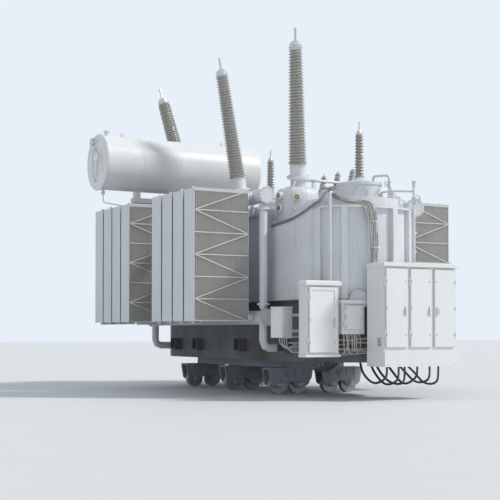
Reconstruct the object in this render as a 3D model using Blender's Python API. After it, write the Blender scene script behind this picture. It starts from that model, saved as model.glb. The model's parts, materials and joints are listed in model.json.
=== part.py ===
"""Three-phase power transformer on transport bogies, with four radiator banks.

Metres, +Z up. The model is laid out about the tank's middle at the level of the
wheels' bottoms, and a parent empty then brings the middle of the whole base to
the origin. The tank is long in Y, the bogies roll in X.
"""
import math

import bmesh
import bpy
from mathutils import Matrix, Vector

# General clearances
GAP = 0.0003
BITE = 0.02
ROUND = 12
CUT_MARGIN = 0.10
SMOOTH_ANGLE = 35

# Tank
TANK_RADIUS = 1.50
TANK_FRONT_Y = -3.60
TANK_REAR_Y = 2.70
TANK_WALL_BOTTOM = 2.18
TANK_TOP = 4.40
TANK_RECESS = 0.16
TANK_FLOOR = 0.80
END_SEGMENTS = 12
COVER_THICK = 0.045
COVER_LIP = 0.09
RIB_WIDTH = 0.24
RIB_DEPTH = 0.10
RIB_PITCH = 1.20
END_RIB_ANGLES = (30.0, 62.0, 118.0, 150.0)
END_RIB_CLEARANCE = 3.0

# Base and bogies
BOGIE_ROWS_X = 0.73
BOGIE_PITCH_Y = 2.20
BOGIE_LENGTH = 1.16
BOGIE_WIDTH = 0.34
BOGIE_TOP = 0.62
BOGIE_PLATE = 0.035
BOGIE_SKIRT = 0.20
BOGIE_EDGE = 0.06
BOGIE_TAPER = 0.05
ARCH_SHARE = 0.6
ARCH_CORNER = 0.07
ARCH_RISE = 0.09
WHEEL_RADIUS = 0.22
WHEEL_PITCH = 0.54
WHEEL_WIDTH = 0.13
WHEEL_SIDES = 12
AXLE_RADIUS = 0.06
BEAM_WIDTH = 0.34

# Radiators
FIN_COUNT = 16
FIN_PITCH = 0.090
FIN_THICK = 0.012
FIN_WIDTH = 0.52
RADIATOR_PITCH = 0.587
RADIATORS_PER_BANK = 4
RADIATOR_BOTTOM = 1.71
RADIATOR_HEIGHT = 2.95
HEADER_DEPTH = 0.030
STUB_DEPTH = 0.0875
HEADER_TOP_WIDTH = 0.46
BANK_INNER_Y = 0.685

RAIL_SHARES = (0.12, 0.88)
RAIL_WIDTH = 0.06
RAIL_HEIGHT = 0.05

# Collectors
COLLECTOR_RADIUS = 0.165
COLLECTOR_CLEARANCE = 0.145
COLLECTOR_OFFSET_X = TANK_RADIUS + COLLECTOR_CLEARANCE + COLLECTOR_RADIUS
STUB_REACH = 0.223
BANK_OUTER_X = COLLECTOR_OFFSET_X + COLLECTOR_RADIUS + STUB_REACH + (FIN_COUNT - 1) * FIN_PITCH + FIN_THICK
COLLECTOR_OVERHANG = 0.18
COLLECTOR_FLANGE = 0.045
COLLECTOR_FLANGE_LIP = 0.035
STUB_RADIUS = 0.045
STUB_SIDES = 6
FEED_RADIUS = 0.045
FEED_POSITIONS_Y = (-1.8, 1.8)
FEED_INSET = 0.07
FEED_BEND = 0.06
RISER_RADIUS = 0.095
RISER_FLANGE_RADIUS = 0.15
RISER_FLANGE_THICK = 0.04
RISER_FLANGE_DROP = 0.12
RISER_FOOT_RADIUS = 0.04
RISER_POSITION_Y = 2.96
ELBOW_LEVEL = 1.10
ELBOW_BEND = 0.16
BEND_HALF = math.sqrt(0.5)

# Porcelain sheds, as shares of the core or of one shed
SHED_FOOT = 0.98
SHED_RISE = 0.30
SHED_FALL = 0.95

# High-voltage bushings
HV_INSET_X = 0.66
HV_ROW_X = HV_INSET_X - TANK_RADIUS
PHASE_PITCH = 2.82
HV_SEAT_DEPTH = 0.20
HV_SEAT_Z = TANK_TOP - HV_SEAT_DEPTH
HV_SEAT_TILT = 28.0
SEAT_CUT_MARGIN = 0.06
HV_FLANGE_RADIUS = 0.63
HV_FLANGE_THICK = 0.05
HV_BODY_RADIUS = 0.56
HV_SHOULDER_RADIUS = 0.47
HV_SHOULDER_RISE = 0.60
HV_SHOULDER_Z = HV_SEAT_Z + HV_SHOULDER_RISE
HV_SHOULDER_SHIFT = 0.05
TURRET_SIDES = 16
HV_NECK_RADIUS = 0.24
HV_NECK_RISE = 0.32
HV_NECK_TOP = HV_SHOULDER_Z + HV_NECK_RISE
HV_NECK_SHIFT = 0.15
HV_SHOULDER_STEP = 0.04
HV_COLLAR_RADIUS = 0.33
HV_COLLAR_THICK = 0.06
HV_LEAN_X = 10.0
HV_FAN_Y = 14.0
HV_PORCELAIN = 2.58
HV_BASE_RADIUS = 0.17
HV_TIP_RADIUS = 0.12
HV_SHED = 0.045
HV_SHEDS = 16
HV_SIDES = 10
HV_FERRULE = 0.22
HV_FERRULE_RADIUS = 0.19
HV_STEM_RADIUS = 0.03
HV_CAP_HEIGHT = 0.20
HV_CAP_LIP = 0.03
HV_CAP_BAND = 0.06
HV_CAP_TAPER = 0.75
HV_STEM = 0.28

# Medium-voltage bushings
MV_INSET_X = 0.56
MV_ROW_X = TANK_RADIUS - MV_INSET_X
MV_POT_RADIUS = 0.54
MV_POT_RISE = 0.70
MV_POT_TOP = TANK_TOP + MV_POT_RISE
MV_POT_SLOPE = 0.10
MV_PORCELAIN = 1.02
MV_BASE_RADIUS = 0.085
MV_SHED = 0.035
MV_SHEDS = 8
MV_SIDES = 8
MV_CAP_HEIGHT = 0.13
MV_STEM = 0.20
MV_STEM_RADIUS = 0.018
MV_RIM = 0.03
MV_RIM_SHARE = 0.97
MV_SEAT_LIP = 0.05
MV_CAP_BAND = 0.04
MV_TIP_SHARE = 0.85
NEUTRAL_Y = 1.42
NEUTRAL_POT_RADIUS = 0.22
NEUTRAL_POT_RISE = 0.62
NEUTRAL_POT_TOP = TANK_TOP + NEUTRAL_POT_RISE
NEUTRAL_POT_SLOPE = 0.02

# Tertiary bushings
TERTIARY_INSET_X = 0.32
TERTIARY_X = TANK_RADIUS - TERTIARY_INSET_X
TERTIARY_YS = (-2.05, -1.40, -0.75)
TERTIARY_PORCELAIN = 0.42
TERTIARY_RADIUS = 0.045
TERTIARY_SHEDS = 3
TERTIARY_SIDES = 6
TERTIARY_BOX_WIDTH = 0.30
TERTIARY_BOX_RISE = 0.62
TERTIARY_BOX_TOP = TANK_TOP + TERTIARY_BOX_RISE
TERTIARY_LEAN = 12.0
TERTIARY_FOOT_SHARE = 1.5
TERTIARY_TIP_SHARE = 0.8

# Conservator
CONSERVATOR_RADIUS = 0.69
CONSERVATOR_LEFT = -4.04
CONSERVATOR_LENGTH = 4.50
CONSERVATOR_Y = 1.63
CARRY_LEVEL = max(RADIATOR_BOTTOM + RADIATOR_HEIGHT, TANK_TOP + COVER_THICK)
CONSERVATOR_LIFT = 0.43
CONSERVATOR_Z = CARRY_LEVEL + CONSERVATOR_LIFT + CONSERVATOR_RADIUS
CONSERVATOR_SIDES = 20
CONSERVATOR_DISH = 0.10
CONSERVATOR_LEGS_X = (-2.95, -0.30)
LEG_WIDTH = 0.12
SUPPORT_RAIL_LIFT = 0.14
SUPPORT_RAIL_Z = CARRY_LEVEL + SUPPORT_RAIL_LIFT
END_BOSS_SHARE = 0.90
END_STEP_SHARE = 0.94
END_RIM = 0.03
END_RIM_START = 0.02
END_RIM_STOP = 0.05
DISH_SHARE = 0.35
DISH_EDGE_SHARE = 0.85
DISH_MIDDLE_SHARE = 0.45
SUPPORT_INSET = 0.12
GAUGE_RADIUS = 0.13
GAUGE_DEPTH = 0.07
GAUGE_SHIFT_Y = -0.05
GAUGE_SHIFT_Z = 0.12

# Cabinets
MEDIUM_REACH = 0.47
MEDIUM_LEFT = -TANK_RADIUS - MEDIUM_REACH
MEDIUM_WIDTH = 0.83
MEDIUM_DEPTH = 0.27
MEDIUM_SETBACK = 0.34
MEDIUM_BACK_Y = TANK_FRONT_Y - TANK_RADIUS + MEDIUM_SETBACK
MEDIUM_BOTTOM = 0.93
MEDIUM_HEIGHT = 1.55
MEDIUM_ARMS = ((0.68, 0.20), (0.68, 1.10))

WALL_BOX_CLEARANCE = 0.06
WALL_BOX_LEFT = MEDIUM_LEFT + MEDIUM_WIDTH + WALL_BOX_CLEARANCE
WALL_BOX_WIDTH = 0.58
WALL_BOX_DEPTH = 0.18
WALL_BOX_SETBACK = 0.20
WALL_BOX_BACK_Y = TANK_FRONT_Y - TANK_RADIUS + WALL_BOX_SETBACK
WALL_BOX_BOTTOM = 1.42
WALL_BOX_HEIGHT = 0.68
WALL_BOX_ARMS = ((0.50, 0.20), (0.50, 0.45))

CABINET_TUCK = 0.03
CABINET_LEFT = WALL_BOX_LEFT + WALL_BOX_WIDTH - CABINET_TUCK
CABINET_WIDTH = 1.94
CABINET_DEPTH = 0.60
CABINET_CLEARANCE = 0.12
CABINET_BACK_Y = TANK_FRONT_Y - TANK_RADIUS - CABINET_CLEARANCE
CABINET_BOTTOM = 1.04
CABINET_HEIGHT = 1.84
CABINET_WALL = 0.030
CABINET_ROOF = 0.05
CABINET_ROOF_LIP = 0.035
PLINTH_HEIGHT = 0.31
PLINTH_LIP = 0.02
CABINET_ARMS = ((0.30, 0.25), (0.30, 0.80), (0.85, 0.25), (0.85, 0.80))
BAY_COUNT = 3
DOOR_SEAM = 0.08
CABINET_SIDE_MARGIN = 0.0425
DOOR_WIDTH = (CABINET_WIDTH - 2 * CABINET_SIDE_MARGIN - (BAY_COUNT - 1) * DOOR_SEAM) / BAY_COUNT
DOOR_PITCH = DOOR_WIDTH + DOOR_SEAM
DOOR_OVERLAP = 0.030
DOOR_THICK = 0.030
DOOR_GAP = 0.010
DOOR_MARGIN_TOP = 0.06
DOOR_MARGIN_BOTTOM = 0.10
HINGE_OFFSET = 0.020
KNUCKLE_RADIUS = 0.010
KNUCKLE_HEIGHT = 0.09
KNUCKLE_SHARE = 0.14
HINGE_BLOCK = 0.045
HANDLE_INSET = 0.06
HANDLE_SHARE = 0.46
DOOR_SIDE_MARGIN = 0.13
HANDLE_HEIGHT = 0.16
HANDLE_WIDTH = 0.025
HANDLE_DEPTH = 0.030

SMALL_BOX_SIDE = 0.34
SMALL_BOX_HEIGHT = 0.68
SMALL_BOX_STANDOFF = 0.40
SMALL_BOX_X = -TANK_RADIUS - SMALL_BOX_STANDOFF
SMALL_BOX_AHEAD = 0.32
SMALL_BOX_Y = TANK_FRONT_Y - SMALL_BOX_AHEAD
SMALL_BOX_BOTTOM = 1.34
SMALL_BOX_BAR_LIFTS = (0.15, 0.50)
BRACKET = 0.06

# Paint and surface colours, as red, green, blue
LIGHT_GREY = (0.62, 0.64, 0.65)
OFF_WHITE = (0.74, 0.75, 0.74)
RADIATOR_GREY = (0.50, 0.51, 0.50)
DARK_GREY = (0.13, 0.14, 0.15)
HV_PORCELAIN_GREY = (0.36, 0.34, 0.31)
MV_PORCELAIN_BROWN = (0.27, 0.22, 0.21)

built = []


def material(name, colour, roughness=0.5, metallic=0.0):
    """A painted or metal surface."""
    mat = bpy.data.materials.new(name)
    mat.use_nodes = True
    shader = mat.node_tree.nodes["Principled BSDF"]
    shader.inputs["Base Color"].default_value = (*colour, 1.0)
    shader.inputs["Roughness"].default_value = roughness
    shader.inputs["Metallic"].default_value = metallic
    return mat


def keep(name, bm, colour, roughness=0.5, metallic=0.0, smooth=False):
    """Turns a bmesh into a named object with a material of its own."""
    mesh = bpy.data.meshes.new(name)
    bmesh.ops.recalc_face_normals(bm, faces=bm.faces)
    bm.to_mesh(mesh)
    bm.free()
    if smooth:
        mesh.shade_smooth()
        mesh.set_sharp_from_angle(angle=math.radians(SMOOTH_ANGLE))
    obj = bpy.data.objects.new(name, mesh)
    obj.data.materials.append(material(name, colour, roughness, metallic))
    bpy.context.collection.objects.link(obj)
    built.append(obj)
    return obj


def helper(name, bm):
    """A cutter that stays out of renders and out of the model."""
    mesh = bpy.data.meshes.new(name)
    bmesh.ops.recalc_face_normals(bm, faces=bm.faces)
    bm.to_mesh(mesh)
    bm.free()
    obj = bpy.data.objects.new(name, mesh)
    bpy.context.collection.objects.link(obj)
    obj.hide_render = True
    obj.display_type = 'WIRE'
    return obj


def cut(target, cutter):
    """Takes the cutter's volume out of the target."""
    combine(target, cutter, 'DIFFERENCE')


def fuse(target, name, bm):
    """Joins the solids of a bmesh, which overlap the target, to it."""
    combine(target, helper(name, bm), 'UNION')


def combine(target, other, operation):
    """Adds an exact Boolean modifier."""
    modifier = target.modifiers.new(other.name, 'BOOLEAN')
    modifier.operation = operation
    modifier.solver = 'EXACT'
    modifier.object = other


def add_box(bm, low, high):
    """A box between two corners."""
    low = Vector(low)
    high = Vector(high)
    centre = (low + high) / 2
    size = high - low
    place = Matrix.Translation(centre) @ Matrix.Diagonal((*size, 1.0))
    bmesh.ops.create_cube(bm, size=1.0, matrix=place)


def add_rings(bm, rings):
    """Skins a row of rings with equal counts and closes both ends."""
    loops = []
    for ring in rings:
        loops.append([bm.verts.new(point) for point in ring])
    count = len(loops[0])
    for lower, upper in zip(loops, loops[1:]):
        for i in range(count):
            j = (i + 1) % count
            bm.faces.new((lower[i], lower[j], upper[j], upper[i]))
    bm.faces.new(list(reversed(loops[0])))
    bm.faces.new(loops[-1])


def circle(centre, normal, radius, sides, turn=0.5):
    """The points of a flat ring; half a step of turn puts a flat side at the bottom."""
    normal = Vector(normal).normalized()
    guide = Vector((0, 0, 1)) if abs(normal.z) < 0.8 else Vector((1, 0, 0))
    across = normal.cross(guide).normalized()
    up = across.cross(normal).normalized()
    points = []
    for i in range(sides):
        angle = 2 * math.pi * (i + turn) / sides
        reach = across * math.sin(angle) * radius + up * math.cos(angle) * radius
        points.append(Vector(centre) + reach)
    return points


def add_turned(bm, start, direction, profile, sides=ROUND, turn=0.5):
    """Turns a profile of (distance, radius) pairs about an axis."""
    direction = Vector(direction).normalized()
    rings = []
    for distance, radius in profile:
        centre = Vector(start) + direction * distance
        rings.append(circle(centre, direction, radius, sides, turn))
    add_rings(bm, rings)


def add_pipe(bm, start, end, radius, sides=ROUND, turn=0.5):
    """A straight round bar between two points."""
    run = Vector(end) - Vector(start)
    add_turned(bm, start, run, ((0.0, radius), (run.length, radius)), sides, turn)


def add_prism(bm, outline, lift, depth):
    """Pushes a flat outline out along depth; lift places its (u, v) points."""
    rings = [[lift(u, v) for u, v in outline], [lift(u, v) + Vector(depth) for u, v in outline]]
    add_rings(bm, rings)


def tank_plan(radius, segments=END_SEGMENTS):
    """The tank's plan: two half circles joined by straight sides."""
    points = []
    for end, y in ((1, TANK_REAR_Y), (-1, TANK_FRONT_Y)):
        points += [end_point(radius, 180.0 * i / segments, y, end) for i in range(segments + 1)]
    return points


def end_point(radius, angle, middle_y, end):
    """A point on one of the tank's rounded ends."""
    turn = math.radians(angle)
    return (radius * math.cos(turn) * end, middle_y + radius * math.sin(turn) * end)


def ribbed_plan():
    """The tank's plan with its vertical stiffeners standing out of it."""
    rib_half = RIB_WIDTH / 2
    first = math.ceil((TANK_FRONT_Y + RIB_WIDTH) / RIB_PITCH)
    last = math.floor((TANK_REAR_Y - RIB_WIDTH) / RIB_PITCH)
    side_ys = [RIB_PITCH * i for i in range(first, last + 1)]
    outer = TANK_RADIUS + RIB_DEPTH
    rib = ((TANK_RADIUS, -rib_half), (outer, -rib_half), (outer, rib_half), (TANK_RADIUS, rib_half))
    spread = math.degrees(rib_half / TANK_RADIUS)
    clear = spread + END_RIB_CLEARANCE
    points = []
    for end, middle_y in ((1, TANK_REAR_Y), (-1, TANK_FRONT_Y)):
        for y in side_ys[::end]:
            points += [(x * end, y + v * end) for x, v in rib]
        marks = [(180.0 * i / END_SEGMENTS, False) for i in range(END_SEGMENTS + 1)]
        marks = [mark for mark in marks if all(abs(mark[0] - angle) > clear for angle in END_RIB_ANGLES)]
        marks += [(angle, True) for angle in END_RIB_ANGLES]
        for angle, is_rib in sorted(marks):
            if not is_rib:
                points.append(end_point(TANK_RADIUS, angle, middle_y, end))
                continue
            for offset, reach in ((-spread, 0), (-spread, RIB_DEPTH), (spread, RIB_DEPTH), (spread, 0)):
                points.append(end_point(TANK_RADIUS + reach, angle + offset, middle_y, end))
    return points


def plan_prism(outline, bottom, top):
    """A vertical prism over a plan outline."""
    bm = bmesh.new()
    add_prism(bm, outline, lambda u, v: Vector((u, v, bottom)), (0, 0, top - bottom))
    return bm


def hv_frames():
    """Seat centre and bushing direction of each high-voltage phase, front to rear."""
    frames = []
    for phase in (-1, 0, 1):
        y = phase * PHASE_PITCH
        lean = Vector((-math.tan(math.radians(HV_LEAN_X)), phase * math.tan(math.radians(HV_FAN_Y)), 1.0))
        frames.append((y, lean.normalized()))
    return frames


def hv_seat_normal():
    """The direction that the slanted turret seats face."""
    tilt = math.radians(HV_SEAT_TILT)
    return Vector((-math.sin(tilt), 0.0, math.cos(tilt)))


def make_tank():
    """The ribbed upper tank, the recessed lower tank and the cover plate."""
    lower = plan_prism(tank_plan(TANK_RADIUS - TANK_RECESS), TANK_FLOOR, TANK_WALL_BOTTOM - GAP)
    keep("lower_tank", lower, LIGHT_GREY)
    upper = keep("upper_tank", plan_prism(ribbed_plan(), TANK_WALL_BOTTOM, TANK_TOP), LIGHT_GREY)
    plate = plan_prism(tank_plan(TANK_RADIUS + COVER_LIP), TANK_TOP + GAP, TANK_TOP + COVER_THICK)
    cover = keep("tank_cover", plate, LIGHT_GREY)
    normal = hv_seat_normal()
    radius = HV_FLANGE_RADIUS + SEAT_CUT_MARGIN
    reach = (TANK_TOP + COVER_THICK - HV_SEAT_Z + radius) / normal.z
    bm = bmesh.new()
    for y, _ in hv_frames():
        seat = Vector((HV_ROW_X, y, HV_SEAT_Z))
        add_pipe(bm, seat, seat + normal * reach, radius, TURRET_SIDES)
    cutter = helper("turret_seat_cutter", bm)
    cut(upper, cutter)
    cut(cover, cutter)


def make_base():
    """The skid under the tank, and six bogies with their wheels."""
    half_length = BOGIE_PITCH_Y + BEAM_WIDTH
    half_width = BOGIE_ROWS_X + BEAM_WIDTH / 2
    nose = half_width - BEAM_WIDTH
    right = ((nose, -half_length), (half_width, -BOGIE_PITCH_Y),
             (half_width, BOGIE_PITCH_Y), (nose, half_length))
    outline = list(right) + [(-x, y) for x, y in reversed(right)]
    keep("base_skid", plan_prism(outline, BOGIE_TOP + GAP, TANK_FLOOR - GAP), DARK_GREY, 0.7)
    for side, side_name in ((-1, "left"), (1, "right")):
        for row, row_name in ((-1, "front"), (0, "middle"), (1, "rear")):
            make_bogie(f"bogie_{row_name}_{side_name}", side * BOGIE_ROWS_X, row * BOGIE_PITCH_Y)


def make_bogie(name, x, y):
    """One bogie: side plates under a top plate, and two wheels on axles between them."""
    half = BOGIE_LENGTH / 2
    arch = WHEEL_PITCH / 2 - WHEEL_RADIUS * ARCH_SHARE
    foot = half - BOGIE_TAPER
    low = BOGIE_SKIRT
    right = ((arch - ARCH_CORNER, low + ARCH_RISE), (arch, low), (foot - BOGIE_EDGE, low),
             (foot, low + BOGIE_EDGE), (half, BOGIE_TOP - BOGIE_EDGE), (half, BOGIE_TOP))
    outline = [(-u, v) for u, v in reversed(right)] + list(right)
    frame = bmesh.new()
    add_prism(frame, outline, lambda u, v: Vector((x + u, y - BOGIE_WIDTH / 2, v)), (0, BOGIE_WIDTH, 0))
    inner = BOGIE_WIDTH / 2 - BOGIE_PLATE
    slot = bmesh.new()
    add_box(slot, (x - half - CUT_MARGIN, y - inner, -CUT_MARGIN),
            (x + half + CUT_MARGIN, y + inner, BOGIE_TOP - BOGIE_PLATE))
    wheels = bmesh.new()
    flat = math.cos(math.pi / WHEEL_SIDES)
    hub = inner + BOGIE_PLATE / 2
    for end in (-1, 1):
        centre_x = x + end * WHEEL_PITCH / 2
        profile = ((0.0, AXLE_RADIUS), (hub - WHEEL_WIDTH / 2, AXLE_RADIUS),
                   (hub - WHEEL_WIDTH / 2, WHEEL_RADIUS / flat), (hub + WHEEL_WIDTH / 2, WHEEL_RADIUS / flat),
                   (hub + WHEEL_WIDTH / 2, AXLE_RADIUS), (2 * hub, AXLE_RADIUS))
        add_turned(wheels, (centre_x, y - hub, WHEEL_RADIUS), (0, 1, 0), profile, WHEEL_SIDES)
    body = keep(name, frame, DARK_GREY, 0.7)
    cut(body, helper(f"{name}_slot", slot))
    fuse(body, f"{name}_wheels", wheels)


def add_radiator(bank, start_x, y):
    """One radiator: a row of thin panels joined by a hipped header at the top and bottom."""
    length = (FIN_COUNT - 1) * FIN_PITCH + FIN_THICK
    half = FIN_WIDTH / 2
    tip = HEADER_TOP_WIDTH / 2
    top = RADIATOR_HEIGHT

    def column(x, z, width):
        place = Vector((start_x, y, RADIATOR_BOTTOM))
        return tuple(bank.verts.new(place + Vector((x, v, z))) for v in (-width, width))

    levels = ((0.0, tip), (HEADER_DEPTH, half), (top - HEADER_DEPTH, half), (top, tip))
    edges = []
    for fin in range(FIN_COUNT):
        for x in (fin * FIN_PITCH, fin * FIN_PITCH + FIN_THICK):
            inner = [column(x, z, width) for z, width in levels[1:3]]
            edges.append(inner)
    ends = []
    for x in (0.0, length):
        ends.append([column(x, z, width) for z, width in (levels[0], levels[3])])
    for fin in range(FIN_COUNT):
        left, right = edges[2 * fin], edges[2 * fin + 1]
        for k in (0, 1):
            bank.faces.new((left[0][k], right[0][k], right[1][k], left[1][k]))
    for wall in range(1, 2 * FIN_COUNT - 1):
        low, high = edges[wall]
        bank.faces.new((low[0], low[1], high[1], high[0]))
    for gap in range(FIN_COUNT - 1):
        left, right = edges[2 * gap + 1], edges[2 * gap + 2]
        for level in (0, 1):
            bank.faces.new((left[level][0], right[level][0], right[level][1], left[level][1]))
    for level in (0, 1):
        row = [edge[level] for edge in edges]
        outer = [ends[0][level], ends[1][level]]
        for k in (0, 1):
            bank.faces.new([pair[k] for pair in row] + [outer[1][k], outer[0][k]])
        bank.faces.new((outer[0][0], outer[0][1], outer[1][1], outer[1][0]))
    for side, edge in ((0, edges[0]), (1, edges[-1])):
        bottom, top_pair = ends[side]
        bank.faces.new((edge[0][0], edge[1][0], top_pair[0], top_pair[1], edge[1][1],
                      edge[0][1], bottom[1], bottom[0]))


def radiator_length():
    """The depth of one radiator's stack of panels."""
    return (FIN_COUNT - 1) * FIN_PITCH + FIN_THICK


def bank_ys(end):
    """The middles of a bank's radiators, the front bank for -1 and the rear one for 1."""
    first = BANK_INNER_Y + FIN_WIDTH / 2
    return [end * (first + RADIATOR_PITCH * i) for i in range(RADIATORS_PER_BANK)]


def make_banks():
    """Four radiator banks: a front and a rear one on each side."""
    for side, side_name in ((-1, "left"), (1, "right")):
        start = -BANK_OUTER_X if side < 0 else BANK_OUTER_X - radiator_length()
        for end, end_name in ((-1, "front"), (1, "rear")):
            bank = bmesh.new()
            ys = bank_ys(end)
            for y in ys:
                add_radiator(bank, start, y)
            rails = bmesh.new()
            low_y = min(ys) - FIN_WIDTH / 2
            high_y = max(ys) + FIN_WIDTH / 2
            for share in RAIL_SHARES:
                x = start + radiator_length() * share
                low_x, high_x = x - RAIL_WIDTH / 2, x + RAIL_WIDTH / 2
                add_box(rails, (low_x, low_y, RADIATOR_BOTTOM - RAIL_HEIGHT),
                        (high_x, high_y, RADIATOR_BOTTOM + BITE))
            name = f"radiator_bank_{end_name}_{side_name}"
            fuse(keep(name, bank, RADIATOR_GREY), f"{name}_rails", rails)


def make_collectors():
    """Oil pipes along the banks, with a stub to each radiator, feeds to the tank and risers."""
    levels = (("upper", RADIATOR_BOTTOM + RADIATOR_HEIGHT - STUB_DEPTH),
              ("lower", RADIATOR_BOTTOM + STUB_DEPTH))
    bank_inner = BANK_OUTER_X - radiator_length()
    reach = BANK_INNER_Y + RADIATOR_PITCH * (RADIATORS_PER_BANK - 1) + FIN_WIDTH + COLLECTOR_OVERHANG
    for side, side_name in ((-1, "left"), (1, "right")):
        x = side * COLLECTOR_OFFSET_X
        for level_name, z in levels:
            pipe = bmesh.new()
            rim = COLLECTOR_RADIUS + COLLECTOR_FLANGE_LIP
            profile = ((0.0, rim), (COLLECTOR_FLANGE, rim), (COLLECTOR_FLANGE, COLLECTOR_RADIUS),
                       (2 * reach - COLLECTOR_FLANGE, COLLECTOR_RADIUS),
                       (2 * reach - COLLECTOR_FLANGE, rim), (2 * reach, rim))
            add_turned(pipe, (x, -reach, z), (0, 1, 0), profile)
            name = f"{level_name}_collector_{side_name}"
            body = keep(name, pipe, LIGHT_GREY, smooth=True)
            stubs = bmesh.new()
            for y in bank_ys(-1) + bank_ys(1):
                add_pipe(stubs, (side * (bank_inner - GAP), y, z), (x, y, z), STUB_RADIUS, STUB_SIDES)
            for y in FEED_POSITIONS_Y:
                add_feed(stubs, side, y, z)
            fuse(body, f"{name}_stubs", stubs)
            if level_name == "lower":
                elbows = bmesh.new()
                for y in (-RISER_POSITION_Y, RISER_POSITION_Y):
                    add_elbow(elbows, side, y, z)
                fuse(body, f"{name}_elbows", elbows)
        for end, end_name in ((-1, "front"), (1, "rear")):
            make_riser(f"riser_{end_name}_{side_name}", x, end * RISER_POSITION_Y, levels[0][1], levels[1][1])


def add_feed(bm, side, y, z):
    """A pipe from a collector to the tank: down onto the cover, or straight into the wall below it."""
    deck = TANK_TOP + COVER_THICK + GAP
    if z < TANK_TOP:
        wall = TANK_RADIUS - (TANK_RECESS if z < TANK_WALL_BOTTOM else 0.0) + GAP
        add_pipe(bm, (side * wall, y, z), (side * COLLECTOR_OFFSET_X, y, z), FEED_RADIUS, STUB_SIDES)
        return
    foot = TANK_RADIUS - FEED_INSET
    corner = FEED_BEND * (1 - BEND_HALF)
    add_bent_pipe(bm, side, y, FEED_RADIUS, STUB_SIDES, [
        ((COLLECTOR_OFFSET_X, z), (1, 0)), ((foot + FEED_BEND, z), (1, 0)),
        ((foot + corner, z - corner), (BEND_HALF, -BEND_HALF)),
        ((foot, z - FEED_BEND), (0, -1)), ((foot, deck), (0, -1))])


def add_elbow(bm, side, y, top):
    """A pipe that drops from the lower collector and turns in to the lower tank's wall."""
    outer = COLLECTOR_OFFSET_X
    wall = TANK_RADIUS - TANK_RECESS + GAP
    corner = ELBOW_BEND * (1 - BEND_HALF)
    add_bent_pipe(bm, side, y, RISER_RADIUS, ROUND, [
        ((outer, top), (0, -1)), ((outer, ELBOW_LEVEL + ELBOW_BEND), (0, -1)),
        ((outer - corner, ELBOW_LEVEL + corner), (BEND_HALF, -BEND_HALF)),
        ((outer - ELBOW_BEND, ELBOW_LEVEL), (1, 0)), ((wall, ELBOW_LEVEL), (1, 0))])


def add_bent_pipe(bm, side, y, radius, sides, stations):
    """A pipe in the plane across the tank, through ((x, z), (inward, upward)) stations."""
    rings = []
    for (x, z), (inward, upward) in stations:
        ring = circle((-x, y, z), (inward, 0, upward), radius, sides)
        rings.append([Vector((-side * point.x, point.y, point.z)) for point in ring])
    add_rings(bm, rings)


def make_riser(name, x, y, upper_z, lower_z):
    """A flanged upright pipe between the upper and the lower collector."""
    seat = COLLECTOR_RADIUS * math.cos(math.pi / ROUND) + GAP
    length = upper_z - lower_z - 2 * seat
    thick = RISER_FLANGE_THICK
    low = RISER_FLANGE_DROP
    high = length - RISER_FLANGE_DROP - thick
    profile = [(0.0, RISER_FOOT_RADIUS), (low / 2, RISER_RADIUS)]
    for start in (low, high):
        profile += [(start, RISER_RADIUS), (start, RISER_FLANGE_RADIUS),
                    (start + thick, RISER_FLANGE_RADIUS), (start + thick, RISER_RADIUS)]
    profile += [(length - low / 2, RISER_RADIUS), (length, RISER_FOOT_RADIUS)]
    riser = bmesh.new()
    add_turned(riser, (x, y, lower_z + seat), (0, 0, 1), profile)
    keep(name, riser, LIGHT_GREY, smooth=True)


def sheds(length, count, core, tip, lip):
    """A porcelain profile: sheds that stand out of a core which tapers to the tip."""
    profile = [(0.0, core * SHED_FOOT)]
    pitch = length / count
    for i in range(count):
        share = (i + 0.5) / count
        radius = core + (tip - core) * share
        start = pitch * i
        profile.append((start + pitch * SHED_RISE, radius + lip))
        profile.append((start + pitch * SHED_FALL, radius))
    profile.append((length, tip))
    return profile


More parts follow.
